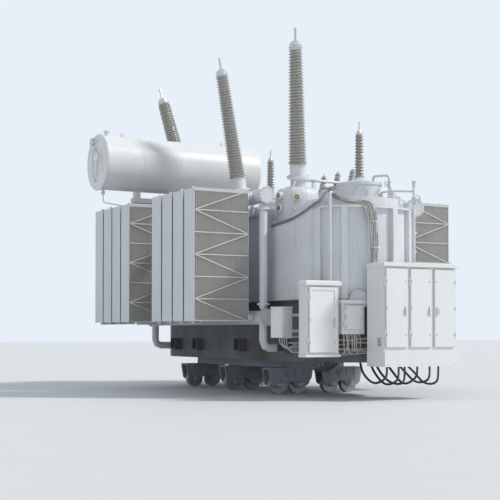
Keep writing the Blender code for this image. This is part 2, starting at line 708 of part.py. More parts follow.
def make_hv_bushings():
    """Slanted turrets, and high-voltage bushings on them that lean and fan out."""
    normal = hv_seat_normal()
    for number, (y, lean) in enumerate(hv_frames(), 1):
        seat = Vector((HV_ROW_X, y, HV_SEAT_Z)) + normal * GAP
        shoulder = Vector((HV_ROW_X + HV_SHOULDER_SHIFT, y, HV_SHOULDER_Z))
        collar = Vector((shoulder.x + lean.x * HV_NECK_SHIFT, y + lean.y * HV_NECK_SHIFT, HV_NECK_TOP))
        face = collar + lean * HV_COLLAR_THICK
        up = Vector((0, 0, 1))
        rings = [
            circle(seat, normal, HV_FLANGE_RADIUS, TURRET_SIDES),
            circle(seat + normal * HV_FLANGE_THICK, normal, HV_FLANGE_RADIUS, TURRET_SIDES),
            circle(seat + normal * HV_FLANGE_THICK, normal, HV_BODY_RADIUS, TURRET_SIDES),
            circle(shoulder, up, HV_SHOULDER_RADIUS, TURRET_SIDES),
            circle(shoulder + up * HV_SHOULDER_STEP, up, HV_NECK_RADIUS, TURRET_SIDES),
            circle(collar, lean, HV_NECK_RADIUS, TURRET_SIDES),
            circle(collar, lean, HV_COLLAR_RADIUS, TURRET_SIDES),
            circle(face, lean, HV_COLLAR_RADIUS, TURRET_SIDES),
            circle(face, lean, HV_FERRULE_RADIUS, TURRET_SIDES),
            circle(face + lean * HV_FERRULE, lean, HV_FERRULE_RADIUS, TURRET_SIDES),
        ]
        turret = bmesh.new()
        add_rings(turret, rings)
        keep(f"hv_turret_{number}", turret, LIGHT_GREY, smooth=True)
        start = face + lean * (HV_FERRULE + GAP)
        cap = HV_TIP_RADIUS + HV_CAP_LIP
        profile = sheds(HV_PORCELAIN, HV_SHEDS, HV_BASE_RADIUS, HV_TIP_RADIUS, HV_SHED)
        top = HV_PORCELAIN
        profile += [(top, cap), (top + HV_CAP_BAND, cap), (top + HV_CAP_HEIGHT, cap * HV_CAP_TAPER),
                    (top + HV_CAP_HEIGHT, HV_STEM_RADIUS), (top + HV_CAP_HEIGHT + HV_STEM, HV_STEM_RADIUS)]
        bushing = bmesh.new()
        add_turned(bushing, start, lean, profile, HV_SIDES)
        keep(f"hv_bushing_{number}", bushing, HV_PORCELAIN_GREY, 0.3)


def make_mv_bushings():
    """Upright bushings on round pots along the other side, and the neutral bushing."""
    places = [(f"mv_{phase + 2}", phase * PHASE_PITCH, MV_POT_RADIUS, MV_POT_TOP, MV_POT_SLOPE)
              for phase in (-1, 0, 1)]
    places.append(("neutral", NEUTRAL_Y, NEUTRAL_POT_RADIUS, NEUTRAL_POT_TOP, NEUTRAL_POT_SLOPE))
    deck = TANK_TOP + COVER_THICK + GAP
    up = Vector((0, 0, 1))
    for name, y, radius, top, slope in places:
        foot = Vector((MV_ROW_X, y, 0.0))
        rim = top - slope
        levels = ((deck, radius), (rim, radius), (rim, radius + MV_RIM), (rim + MV_RIM, radius + MV_RIM),
                  (rim + MV_RIM, radius * MV_RIM_SHARE), (top + MV_RIM, MV_BASE_RADIUS + MV_SEAT_LIP),
                  (top + MV_RIM * 3, MV_BASE_RADIUS + MV_SEAT_LIP))
        pot = bmesh.new()
        add_turned(pot, foot, up, levels, TURRET_SIDES)
        keep(f"{name}_turret", pot, LIGHT_GREY, smooth=True)
        profile = sheds(MV_PORCELAIN, MV_SHEDS, MV_BASE_RADIUS, MV_BASE_RADIUS * MV_TIP_SHARE, MV_SHED)
        end = MV_PORCELAIN
        profile += [(end, MV_BASE_RADIUS), (end + MV_CAP_BAND, MV_BASE_RADIUS),
                    (end + MV_CAP_HEIGHT, MV_STEM_RADIUS * 2),
                    (end + MV_CAP_HEIGHT, MV_STEM_RADIUS), (end + MV_CAP_HEIGHT + MV_STEM, MV_STEM_RADIUS)]
        bushing = bmesh.new()
        add_turned(bushing, foot + up * (top + MV_RIM * 3 + GAP), up, profile, MV_SIDES)
        keep(f"{name}_bushing", bushing, MV_PORCELAIN_BROWN, 0.3)


def make_tertiary_bushings():
    """Three small bushings that lean outwards from one long box on the cover."""
    deck = TANK_TOP + COVER_THICK + GAP
    lean = Vector((math.sin(math.radians(TERTIARY_LEAN)), 0.0, math.cos(math.radians(TERTIARY_LEAN))))
    box = bmesh.new()
    half = TERTIARY_BOX_WIDTH / 2
    add_box(box, (TERTIARY_X - half, min(TERTIARY_YS) - half, deck),
            (TERTIARY_X + half, max(TERTIARY_YS) + half, TERTIARY_BOX_TOP))
    body = keep("tertiary_bushings", box, LIGHT_GREY)
    posts = bmesh.new()
    for y in TERTIARY_YS:
        start = Vector((TERTIARY_X, y, TERTIARY_BOX_TOP - BITE))
        foot = TERTIARY_RADIUS * TERTIARY_FOOT_SHARE
        profile = [(0.0, foot), (BITE * 3, foot)]
        body_sheds = sheds(TERTIARY_PORCELAIN, TERTIARY_SHEDS, TERTIARY_RADIUS,
                           TERTIARY_RADIUS * TERTIARY_TIP_SHARE, MV_SHED)
        profile += [(distance + BITE * 3, radius) for distance, radius in body_sheds]
        add_turned(posts, start, lean, profile, TERTIARY_SIDES)
    fuse(body, "tertiary_posts", posts)


def make_conservator():
    """The oil conservator drum across the rear, its legs, saddles and oil-level gauge."""
    bm = bmesh.new()
    left = Vector((CONSERVATOR_LEFT, CONSERVATOR_Y, CONSERVATOR_Z))
    length = CONSERVATOR_LENGTH
    radius = CONSERVATOR_RADIUS
    dish = CONSERVATOR_DISH
    profile = ((0.0, radius * END_BOSS_SHARE), (0.0, radius * END_STEP_SHARE),
               (END_RIM_START, radius + END_RIM), (END_RIM_STOP, radius + END_RIM),
               (END_RIM_STOP, radius), (length - dish, radius),
               (length - dish * DISH_SHARE, radius * DISH_EDGE_SHARE), (length, radius * DISH_MIDDLE_SHARE))
    add_turned(bm, left, (1, 0, 0), profile, CONSERVATOR_SIDES)
    drum = keep("conservator", bm, OFF_WHITE, smooth=True)
    gauge = bmesh.new()
    centre = left + Vector((0, GAUGE_SHIFT_Y, GAUGE_SHIFT_Z))
    add_pipe(gauge, centre + Vector((BITE, 0, 0)), centre - Vector((GAUGE_DEPTH, 0, 0)), GAUGE_RADIUS)
    fuse(drum, "gauge_body", gauge)

    flat = math.cos(math.pi / CONSERVATOR_SIDES)
    belly = CONSERVATOR_Z - radius * flat - GAP
    facet = radius * math.sin(math.pi / CONSERVATOR_SIDES)
    half = LEG_WIDTH / 2
    rail_left = CONSERVATOR_LEGS_X[0] - LEG_WIDTH
    rail_right = CONSERVATOR_LEGS_X[-1] + LEG_WIDTH
    rail = bmesh.new()
    add_box(rail, (rail_left, CONSERVATOR_Y - LEG_WIDTH, SUPPORT_RAIL_Z),
            (rail_right, CONSERVATOR_Y + LEG_WIDTH, SUPPORT_RAIL_Z + LEG_WIDTH))
    supports = keep("conservator_supports", rail, OFF_WHITE)
    posts = bmesh.new()
    for x in CONSERVATOR_LEGS_X:
        add_box(posts, (x - half, CONSERVATOR_Y - facet, SUPPORT_RAIL_Z + LEG_WIDTH - BITE),
                (x + half, CONSERVATOR_Y + facet, belly))
    deck = TANK_TOP + COVER_THICK + GAP
    for x in (SUPPORT_INSET - TANK_RADIUS, CONSERVATOR_LEGS_X[-1]):
        add_box(posts, (x - half, CONSERVATOR_Y - half, deck),
                (x + half, CONSERVATOR_Y + half, SUPPORT_RAIL_Z + BITE))
    fuse(supports, "conservator_posts", posts)


def hinge_levels(bottom, height):
    """The lowest points of a door's two hinge barrels."""
    inset = height * KNUCKLE_SHARE
    return (bottom + inset, bottom + height - inset - KNUCKLE_HEIGHT)


def make_cabinet(name, left, width, depth, back_y, bottom, height, bays, pitch, door_width, hands, arms,
                 plinth=0.0):
    """A hollow cabinet with an overhanging roof, brackets to the tank and a door over each bay."""
    front_y = back_y - depth
    shell = bmesh.new()
    add_box(shell, (left, front_y, bottom), (left + width, back_y, bottom + height))
    body = keep(f"{name}_shell", shell, OFF_WHITE)
    add_roof_and_plinth(body, name, left, width, front_y, back_y, bottom, height, plinth)
    door_bottom = bottom + DOOR_MARGIN_BOTTOM
    door_height = height - DOOR_MARGIN_TOP - DOOR_MARGIN_BOTTOM
    axis_y = front_y - DOOR_GAP - DOOR_THICK / 2
    first = left + width / 2 - pitch * (bays - 1) / 2
    hollow = bmesh.new()
    hinges = bmesh.new()
    for bay, hand in enumerate(hands):
        middle = first + pitch * bay
        half = door_width / 2 - DOOR_OVERLAP
        add_box(hollow, (middle - half, front_y - CUT_MARGIN, door_bottom + DOOR_OVERLAP),
                (middle + half, back_y - CABINET_WALL, door_bottom + door_height - DOOR_OVERLAP))
        axis_x = middle - hand * (door_width / 2 + HINGE_OFFSET)
        for z in hinge_levels(door_bottom, door_height):
            for low in (z - HINGE_BLOCK - GAP, z + KNUCKLE_HEIGHT + GAP):
                add_box(hinges, (axis_x - KNUCKLE_RADIUS, axis_y - KNUCKLE_RADIUS, low),
                        (axis_x + KNUCKLE_RADIUS, front_y + BITE, low + HINGE_BLOCK))
        suffix = f"_{bay + 1}" if bays > 1 else ""
        make_door(f"{name}_door{suffix}", middle, axis_x, axis_y, door_width, hand, door_bottom, door_height)
    cut(body, helper(f"{name}_hollow", hollow))
    fuse(body, f"{name}_hinge_blocks", hinges)
    bars = bmesh.new()
    for x, z in arms:
        add_arm(bars, left + x, back_y, bottom + z)
    fuse(body, f"{name}_brackets", bars)


def add_roof_and_plinth(body, name, left, width, front_y, back_y, bottom, height, plinth):
    """The roof plate that stands out over the doors, and the plinth where there is one."""
    roof = bmesh.new()
    lip = CABINET_ROOF_LIP + DOOR_GAP + DOOR_THICK
    top = bottom + height
    add_box(roof, (left - CABINET_ROOF_LIP, front_y - lip, top - BITE),
            (left + width + CABINET_ROOF_LIP, back_y - BITE, top + CABINET_ROOF))
    fuse(body, f"{name}_roof", roof)
    if plinth:
        foot = bmesh.new()
        add_box(foot, (left - PLINTH_LIP, front_y - lip, bottom - plinth),
                (left + width + PLINTH_LIP, back_y - BITE, bottom + BITE))
        fuse(body, f"{name}_plinth", foot)


def make_door(name, middle, axis_x, axis_y, width, hand, bottom, height):
    """A door leaf with its hinge barrels and a handle; its origin is on the hinge axis."""
    door = bmesh.new()
    half = DOOR_THICK / 2
    add_box(door, (middle - width / 2, axis_y - half, bottom),
            (middle + width / 2, axis_y + half, bottom + height))
    leaf = keep(name, door, OFF_WHITE)
    fittings = bmesh.new()
    for z in hinge_levels(bottom, height):
        span = sorted((axis_x - hand * KNUCKLE_RADIUS, axis_x + hand * (HINGE_OFFSET + BITE)))
        add_box(fittings, (span[0], axis_y - KNUCKLE_RADIUS, z),
                (span[1], axis_y + KNUCKLE_RADIUS, z + KNUCKLE_HEIGHT))
    handle_x = middle + hand * (width / 2 - HANDLE_INSET)
    handle_z = bottom + height * HANDLE_SHARE
    front = axis_y - half - HANDLE_DEPTH
    add_box(fittings, (handle_x - HANDLE_WIDTH / 2, front, handle_z - HANDLE_HEIGHT / 2),
            (handle_x + HANDLE_WIDTH / 2, axis_y, handle_z + HANDLE_HEIGHT / 2))
    fuse(leaf, f"{name}_fittings", fittings)
    for obj in (leaf, bpy.data.objects[f"{name}_fittings"]):
        put_origin(obj, Vector((axis_x, axis_y, bottom)))


def put_origin(obj, point):
    """Moves an object's origin to a point without moving its shape."""
    obj.data.transform(Matrix.Translation(-point))
    obj.location = point


def make_cabinets():
    """The control cabinets and boxes on the front end of the tank."""
    make_cabinet("large_cabinet", CABINET_LEFT, CABINET_WIDTH, CABINET_DEPTH, CABINET_BACK_Y, CABINET_BOTTOM,
                 CABINET_HEIGHT, BAY_COUNT, DOOR_PITCH, DOOR_WIDTH, (1, 1, -1), CABINET_ARMS, PLINTH_HEIGHT)
    make_cabinet("medium_cabinet", MEDIUM_LEFT, MEDIUM_WIDTH, MEDIUM_DEPTH, MEDIUM_BACK_Y, MEDIUM_BOTTOM,
                 MEDIUM_HEIGHT, 1, 0.0, MEDIUM_WIDTH - DOOR_SIDE_MARGIN, (1,), MEDIUM_ARMS)
    make_cabinet("wall_box", WALL_BOX_LEFT, WALL_BOX_WIDTH, WALL_BOX_DEPTH, WALL_BOX_BACK_Y, WALL_BOX_BOTTOM,
                 WALL_BOX_HEIGHT, 1, 0.0, WALL_BOX_WIDTH - DOOR_SIDE_MARGIN, (1,), WALL_BOX_ARMS)

    box = bmesh.new()
    reach = SMALL_BOX_SIDE / math.sqrt(2)
    outline = ((reach, 0), (0, reach), (-reach, 0), (0, -reach))
    add_prism(box, outline, lambda u, v: Vector((SMALL_BOX_X + u, SMALL_BOX_Y + v, SMALL_BOX_BOTTOM)),
              (0, 0, SMALL_BOX_HEIGHT))
    body = keep("small_box", box, OFF_WHITE)
    bars = bmesh.new()
    for lift in SMALL_BOX_BAR_LIFTS:
        add_wall_bar(bars, SMALL_BOX_X + reach / 2, SMALL_BOX_Y, SMALL_BOX_BOTTOM + lift)
    fuse(body, "small_box_brackets", bars)


def tank_front_y(x):
    """Where the lower tank's faceted front wall stands at a given x."""
    front = sorted(point for point in tank_plan(TANK_RADIUS - TANK_RECESS) if point[1] <= TANK_FRONT_Y + GAP)
    return read_between(front, x)


def tank_left_x(y):
    """Where the lower tank's left wall stands at a given y."""
    outline = tank_plan(TANK_RADIUS - TANK_RECESS)
    left = sorted((v, x) for x, v in outline if x <= 0 and v <= TANK_REAR_Y)
    return read_between(left, y)


def read_between(points, value):
    """Reads a row of (input, output) points at an input between two of them."""
    for (start, first), (end, last) in zip(points, points[1:]):
        if start <= value <= end:
            return first + (last - first) * (value - start) / (end - start)
    return points[-1][1]


def add_arm(bm, x, back_y, z):
    """A square bar from a cabinet's back to the lower tank."""
    half = BRACKET / 2
    wall = min(tank_front_y(x - half), tank_front_y(x + half)) - GAP
    add_box(bm, (x - half, back_y - BITE, z - half), (x + half, wall, z + half))


def add_wall_bar(bm, x, y, z):
    """A square bar along X from the small box to the lower tank's side."""
    half = BRACKET / 2
    wall = min(tank_left_x(y - half), tank_left_x(y + half)) - GAP
    add_box(bm, (x, y - half, z - half), (wall, y + half, z + half))


def centre_on_base():
    """Parents every piece to an empty and brings the base's middle to the origin."""
    bpy.context.view_layer.update()
    depsgraph = bpy.context.evaluated_depsgraph_get()
    low = Vector((1e9, 1e9, 1e9))
    high = -low
    for obj in built:
        evaluated = obj.evaluated_get(depsgraph)
        mesh = evaluated.to_mesh()
        for vertex in mesh.vertices:
            point = obj.matrix_world @ vertex.co
            low = Vector(map(min, low, point))
            high = Vector(map(max, high, point))
        evaluated.to_mesh_clear()
    frame = bpy.data.objects.new("transformer_frame", None)
    bpy.context.collection.objects.link(frame)
    for obj in bpy.data.objects:
        if obj is not frame:
            obj.parent = frame
    frame.location = (-(low.x + high.x) / 2, -(low.y + high.y) / 2, -low.z)


def main():
    """Builds the transformer."""
    for obj in list(bpy.data.objects):
        bpy.data.objects.remove(obj, do_unlink=True)
    make_base()
    make_tank()
    make_banks()
    make_collectors()
    make_hv_bushings()
    make_mv_bushings()
    make_tertiary_bushings()
    make_conservator()
    make_cabinets()
    centre_on_base()


main()
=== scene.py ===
"""Looks of a large oil-filled power transformer on bogies.

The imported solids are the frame. Each sub-assembly below is a class that gives them
their finish and adds the fine pieces: radiator panels and bracing, porcelain sheds,
flanges and bolts, pipework, valves, cables and cabinet fittings. Metres, +Z up.
"""

import json
import logging
from dataclasses import dataclass, field
from enum import Enum
from math import atan2, cos, pi, radians, sin, sqrt, tau
from typing import Callable, Iterable, Sequence

import bmesh
import bpy
from mathutils import Matrix, Vector


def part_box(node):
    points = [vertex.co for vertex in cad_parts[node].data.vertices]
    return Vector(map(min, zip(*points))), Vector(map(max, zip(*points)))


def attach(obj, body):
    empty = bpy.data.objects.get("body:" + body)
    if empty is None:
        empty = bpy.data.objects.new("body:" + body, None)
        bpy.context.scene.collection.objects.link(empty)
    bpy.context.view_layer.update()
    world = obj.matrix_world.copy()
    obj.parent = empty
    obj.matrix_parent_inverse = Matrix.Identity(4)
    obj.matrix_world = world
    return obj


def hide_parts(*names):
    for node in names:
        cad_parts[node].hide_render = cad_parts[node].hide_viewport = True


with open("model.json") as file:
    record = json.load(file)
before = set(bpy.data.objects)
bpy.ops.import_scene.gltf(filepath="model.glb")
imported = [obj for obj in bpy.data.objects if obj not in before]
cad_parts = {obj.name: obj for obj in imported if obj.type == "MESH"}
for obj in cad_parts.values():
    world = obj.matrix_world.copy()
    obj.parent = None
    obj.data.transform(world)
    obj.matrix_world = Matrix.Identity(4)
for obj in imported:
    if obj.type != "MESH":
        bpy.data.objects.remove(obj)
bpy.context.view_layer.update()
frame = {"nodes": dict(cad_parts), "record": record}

LOG = logging.getLogger("transformer")
ROOT = "root"
UP = Vector((0.0, 0.0, 1.0))
ORIGIN = Vector((0.0, 0.0, 0.0))
VIEW_TURN = 29.2  # degrees between the camera's heading and the long axis
MERGE_REACH = 0.00002  # how near, in metres, points of one shape are merged

Colour = tuple[float, float, float]
Point = Sequence[float]
Mesh = bpy.types.Object


class Slot(Enum):
    """The record's material slots."""

    TANK = "tank_paint"
    CABINET = "cabinet_paint"
    RADIATOR = "radiator_paint"
    GEAR = "running_gear_paint"
    HV = "hv_porcelain"
    MV = "mv_porcelain"


class Side(Enum):
    """The two long sides, by the sign of X."""

    LEFT = -1
    RIGHT = 1


def new_group(name: str, inputs: dict[str, str], outputs: dict[str, str]) -> bpy.types.NodeTree:
    """Starts a shader node group.

    Args:
        name: The group's name.
        inputs: Socket types by input name.
        outputs: Socket types by output name.

    Returns:
        The group, with its input and output nodes in place.
    """
    group = bpy.data.node_groups.new(name, "ShaderNodeTree")
    for label, kind in inputs.items():
        group.interface.new_socket(name=label, in_out="INPUT", socket_type=kind)
    for label, kind in outputs.items():
        group.interface.new_socket(name=label, in_out="OUTPUT", socket_type=kind)
    group.nodes.new("NodeGroupInput").name = "in"
    group.nodes.new("NodeGroupOutput").name = "out"
    return group


def add_noise(tree: bpy.types.NodeTree, scale: float, stretch: Point, detail: float) -> bpy.types.NodeSocket:
    """Adds a noise on Object coordinates.

    Args:
        tree: The material's or group's node tree.
        scale: How fine the noise is.
        stretch: The factor on each axis before it.
        detail: How many finer layers it has.

    Returns:
        The noise's value socket.
    """
    coords = tree.nodes.new("ShaderNodeTexCoord")
    mapping = tree.nodes.new("ShaderNodeMapping")
    mapping.inputs["Scale"].default_value = stretch
    noise = tree.nodes.new("ShaderNodeTexNoise")
    noise.inputs["Scale"].default_value = scale
    noise.inputs["Detail"].default_value = detail
    tree.links.new(coords.outputs["Object"], mapping.inputs["Vector"])
    tree.links.new(mapping.outputs["Vector"], noise.inputs["Vector"])
    return noise.outputs["Fac"]


def add_range(tree: bpy.types.NodeTree, value: bpy.types.NodeSocket, spread: tuple[float, float],
              result: tuple[float, float]) -> bpy.types.NodeSocket:
    """Maps a value from one range to another, with its ends held.

    Args:
        tree: The node tree.
        value: The socket to map.
        spread: The range that it comes in.
        result: The range that it goes to.

    Returns:
        The mapped value's socket.
    """
    node = tree.nodes.new("ShaderNodeMapRange")
    node.inputs["From Min"].default_value, node.inputs["From Max"].default_value = spread
    node.inputs["To Min"].default_value, node.inputs["To Max"].default_value = result
    tree.links.new(value, node.inputs["Value"])
    return node.outputs["Result"]


def add_math(tree: bpy.types.NodeTree, operation: str, first: bpy.types.NodeSocket,
             second: bpy.types.NodeSocket) -> bpy.types.NodeSocket:
    """Joins two values by a sum, product or other operation, held between 0 and 1.

    Args:
        tree: The node tree.
        operation: The Math node's operation.
        first: One value.
        second: The other value.

    Returns:
        The result's socket.
    """
    node = tree.nodes.new("ShaderNodeMath")
    node.operation = operation
    node.use_clamp = True
    tree.links.new(first, node.inputs[0])
    tree.links.new(second, node.inputs[1])
    return node.outputs[0]


def weathering_group() -> bpy.types.NodeTree:
    """Builds the group that dusts and streaks a coat of paint.

    Returns:
        The group: paint, dust colour and their amounts in; colour, mask and height out.
    """
    group = new_group(
        "weathered_coat",
        {"Paint": "NodeSocketColor", "Dust": "NodeSocketColor", "Dust Amount": "NodeSocketFloat",
         "Streak Amount": "NodeSocketFloat"},
        {"Colour": "NodeSocketColor", "Mask": "NodeSocketFloat", "Height": "NodeSocketFloat"})
    enter, leave = group.nodes["in"], group.nodes["out"]
    patches = add_range(group, add_noise(group, 1.3, (1.0, 1.0, 0.7), 5.0), (0.42, 0.72), (0.0, 1.0))
    runs = add_range(group, add_noise(group, 5.0, (3.2, 3.2, 0.22), 3.0), (0.50, 0.78), (0.0, 1.0))
    dust = add_math(group, "MULTIPLY", patches, enter.outputs["Dust Amount"])
    streaks = add_math(group, "MULTIPLY", runs, enter.outputs["Streak Amount"])
    mask = add_math(group, "ADD", dust, streaks)
    mix = group.nodes.new("ShaderNodeMix")
    mix.data_type = "RGBA"
    group.links.new(mask, mix.inputs["Factor"])
    group.links.new(enter.outputs["Paint"], mix.inputs[6])
    group.links.new(enter.outputs["Dust"], mix.inputs[7])
    group.links.new(mix.outputs[2], leave.inputs["Colour"])
    group.links.new(mask, leave.inputs["Mask"])
    group.links.new(add_noise(group, 55.0, (1.0, 1.0, 1.0), 2.0), leave.inputs["Height"])
    return group


WEATHERING = weathering_group()


@dataclass(frozen=True)
class Finish:
    """A surface finish: its colour, the dust on it, its gloss and its relief.

    Args:
        name: The material's name.
        colour: The clean colour.
        dust: The colour of dirt and dust on it.
        dusty: How much of it the dust covers.
        streaked: How strong the runs of dirt down it are.
        roughness: The least and the greatest roughness.
        metallic: 1 for bare metal.
        coat: The weight of a clear gloss layer, such as a glaze.
        relief: The depth of its grain in metres.
    """

    name: str
    colour: Colour
    dust: Colour = (0.33, 0.30, 0.26)
    dusty: float = 0.18
    streaked: float = 0.20
    roughness: tuple[float, float] = (0.38, 0.62)
    metallic: float = 0.0
    coat: float = 0.0
    relief: float = 0.0008

    def build(self) -> bpy.types.Material:
        """Makes the material.

        Returns:
            The material, with the weathering group between the colour and the shader.
        """
        mat = bpy.data.materials.new(self.name)
        mat.use_nodes = True
        tree = mat.node_tree
        shader = tree.nodes["Principled BSDF"]
        coat = tree.nodes.new("ShaderNodeGroup")
        coat.node_tree = WEATHERING
        coat.inputs["Paint"].default_value = (*self.colour, 1.0)
        coat.inputs["Dust"].default_value = (*self.dust, 1.0)
        coat.inputs["Dust Amount"].default_value = self.dusty
        coat.inputs["Streak Amount"].default_value = self.streaked
        bump = tree.nodes.new("ShaderNodeBump")
        bump.inputs["Distance"].default_value = self.relief
        bump.inputs["Strength"].default_value = 0.5
        tree.links.new(coat.outputs["Colour"], shader.inputs["Base Color"])
        tree.links.new(add_range(tree, coat.outputs["Mask"], (0.0, 0.6), self.roughness),
                       shader.inputs["Roughness"])
        tree.links.new(coat.outputs["Height"], bump.inputs["Height"])
        tree.links.new(bump.outputs["Normal"], shader.inputs["Normal"])
        shader.inputs["Metallic"].default_value = self.metallic
        shader.inputs["Coat Weight"].default_value = self.coat
        return mat


class Palette:
    """Every finish of the transformer, each built once."""

    TANK = Finish("tank_grey_paint", (0.71, 0.73, 0.75), dusty=0.16, streaked=0.20)
    CABINET = Finish("cabinet_white_paint", (0.80, 0.81, 0.80), dusty=0.07, streaked=0.06)
    DRUM = Finish("conservator_white_paint", (0.78, 0.79, 0.79), dusty=0.10, streaked=0.14)
    PANEL = Finish("radiator_panel_paint", (0.68, 0.665, 0.64), dusty=0.10, streaked=0.06)
    BRACE = Finish("radiator_brace_paint", (0.58, 0.58, 0.57), dusty=0.10, streaked=0.05)
    PLATE = Finish("radiator_end_plate_paint", (0.66, 0.68, 0.72), dusty=0.05, streaked=0.06)
    GEAR = Finish("bogie_grey_paint", (0.27, 0.30, 0.35), dust=(0.22, 0.19, 0.16), dusty=0.40, streaked=0.25,
                  roughness=(0.55, 0.85), relief=0.0015)
    TREAD = Finish("worn_wheel_steel", (0.36, 0.36, 0.37), dust=(0.20, 0.16, 0.13), dusty=0.45, metallic=0.5,
                   roughness=(0.35, 0.75))
    HV_GLAZE = Finish("grey_brown_glaze", (0.43, 0.42, 0.39), dusty=0.25, streaked=0.15,
                      roughness=(0.16, 0.40), coat=0.6, relief=0.0003)
    MV_GLAZE = Finish("brown_glaze", (0.35, 0.30, 0.29), dusty=0.20, streaked=0.12,
                      roughness=(0.16, 0.40), coat=0.6, relief=0.0003)
    # Painted shade: the lower tank keeps the tank's paint darkened to near black for the deep shade under the
    # radiators, with real grime and dust over it.
    SHADED_BELLY = Finish("lower_tank_grime", (0.13, 0.135, 0.14), dust=(0.10, 0.08, 0.06), dusty=0.55,
                   streaked=0.35, roughness=(0.55, 0.85), relief=0.0015)
    STEEL = Finish("galvanised_steel", (0.58, 0.60, 0.61), dusty=0.20, streaked=0.10, metallic=0.75,
                   roughness=(0.32, 0.55))
    DARK = Finish("black_gasket", (0.045, 0.047, 0.05), dusty=0.15, streaked=0.05, roughness=(0.5, 0.8))
    CABLE = Finish("grey_cable_sheath", (0.25, 0.26, 0.28), dusty=0.25, streaked=0.1, roughness=(0.45, 0.7))
    PALE_CABLE = Finish("pale_cable_sheath", (0.56, 0.54, 0.50), dusty=0.2, streaked=0.1,
                        roughness=(0.4, 0.65))
    DIAL = Finish("white_dial", (0.83, 0.83, 0.80), dusty=0.03, streaked=0.0, roughness=(0.12, 0.3), coat=0.8)
    GLASS = Finish("dark_sight_glass", (0.06, 0.07, 0.08), dusty=0.05, streaked=0.0, roughness=(0.05, 0.2),
                   coat=1.0)
    BRASS = Finish("brown_brass", (0.42, 0.27, 0.11), dusty=0.2, streaked=0.0, metallic=0.9,
                   roughness=(0.3, 0.5))

    _built: dict[str, bpy.types.Material] = {}

    @classmethod
    def get(cls, finish: Finish) -> bpy.types.Material:
        """Returns a finish's material, built the first time.

        Args:
            finish: The finish.

        Returns:
            Its material.
        """
        if finish.name not in cls._built:
            cls._built[finish.name] = finish.build()
        return cls._built[finish.name]


def clear_selection() -> None:
    """Deselects every object."""
    bpy.ops.object.select_all(action="DESELECT")


def activate(obj: Mesh) -> None:
    """Makes one object the only selected and the active one.

    Args:
        obj: The object.
    """
    clear_selection()
    obj.select_set(True)
    bpy.context.view_layer.objects.active = obj


def settle(obj: Mesh) -> Mesh:
    """Puts an object's place into its mesh, so that it sits at the origin.

    Args:
        obj: The object.

    Returns:
        The same object.
    """
    obj.data.transform(obj.matrix_world)
    obj.matrix_world = Matrix.Identity(4)
    return obj


def edit(obj: Mesh, work: Callable[[], None]) -> Mesh:
    """Runs edit-mode operators on an object, with all of it selected at first.

    Args:
        obj: The object to shape.
        work: A function that calls the operators.

    Returns:
        The same object.
    """
    activate(obj)
    bpy.ops.object.mode_set(mode="EDIT")
    bpy.ops.mesh.select_all(action="SELECT")
    work()
    bpy.ops.object.mode_set(mode="OBJECT")
    return obj


def at(x: float, y: float, z: float) -> Vector:
    """A place, a step or a direction."""
    return Vector((x, y, z))


def pick(obj: Mesh, kind: str, wanted: Callable[..., bool]) -> None:
    """Selects some of the faces or vertices of an object that is being edited.

    Args:
        obj: The object, in edit mode.
        kind: "polygons" or "vertices".
        wanted: Says of each one whether it is selected.
    """
    bpy.ops.mesh.select_all(action="DESELECT")
    bpy.ops.object.mode_set(mode="OBJECT")
    for item in getattr(obj.data, kind):
        item.select = wanted(item)
    bpy.ops.object.mode_set(mode="EDIT")


def block(low: Point, high: Point, bevel: float = 0.0, segments: int = 1) -> Mesh:
    """Makes a block with softened edges.

    Args:
        low: Its lowest corner.
        high: Its highest corner.
        bevel: The width of its edges' bevel, or 0 for none.
        segments: How many steps the bevel has.

    Returns:
        The block, settled.
    """
    clear_selection()
    low, high = Vector(low), Vector(high)
    bpy.ops.mesh.primitive_cube_add(size=1.0, location=(low + high) / 2, scale=high - low)
    obj = settle(bpy.context.active_object)
    if bevel:
        edit(obj, lambda: bpy.ops.mesh.bevel(offset=bevel, segments=segments, affect="EDGES"))
    return obj


def spun(profile: Sequence[tuple[float, float]], start: Point, direction: Point, sides: int = 32) -> Mesh:
    """Draws a profile and spins it about an axis.

    Args:
        profile: Pairs of (distance along the axis, radius).
        start: Where the axis starts.
        direction: The way the axis points.
        sides: How many steps the spin has.

    Returns:
        The closed turned shape, settled.
    """
    clear_selection()
    bpy.ops.mesh.primitive_plane_add(size=1.0)
    obj = bpy.context.active_object
    points = [(0.0, profile[0][0])] if profile[0][1] else []
    points += [(radius, distance) for distance, radius in profile]
    if profile[-1][1]:
        points.append((0.0, profile[-1][0]))

    def work() -> None:
        """Draws the profile from one point, then spins it."""
        bpy.ops.mesh.merge(type="CENTER")
        bpy.ops.transform.translate(value=(points[0][0], 0.0, points[0][1]))
        for (from_r, from_z), (to_r, to_z) in zip(points, points[1:]):
            bpy.ops.mesh.extrude_region_move(
                TRANSFORM_OT_translate={"value": (to_r - from_r, 0.0, to_z - from_z)})
        bpy.ops.mesh.select_all(action="SELECT")
        bpy.ops.mesh.spin(steps=sides, angle=tau, center=(0.0, 0.0, 0.0), axis=(0.0, 0.0, 1.0))
        bpy.ops.mesh.select_all(action="SELECT")
        bpy.ops.mesh.remove_doubles(threshold=MERGE_REACH)
        bpy.ops.mesh.normals_make_consistent(inside=False)

    edit(obj, work)
    obj.matrix_world = facing(start, direction)
    return settle(obj)


def rounded_path(points: Sequence[Point], bend: float, steps: int = 4) -> list[Vector]:
    """Rounds the corners of a path of straight runs.

    Args:
        points: The path's corners.
        bend: How far from a corner its arc starts.
        steps: How many pieces each arc has.

    Returns:
        The points of the rounded path.
    """
    corners = [Vector(point) for point in points]
    path = [corners[0]]
    for before, corner, after in zip(corners, corners[1:], corners[2:]):
        reach = min(bend, (corner - before).length * 0.49, (after - corner).length * 0.49)
        first = corner + (before - corner).normalized() * reach
        last = corner + (after - corner).normalized() * reach
        for step in range(steps + 1):
            share = step / steps
            path.append(first.lerp(corner, share).lerp(corner.lerp(last, share), share))
    path.append(corners[-1])
    return path


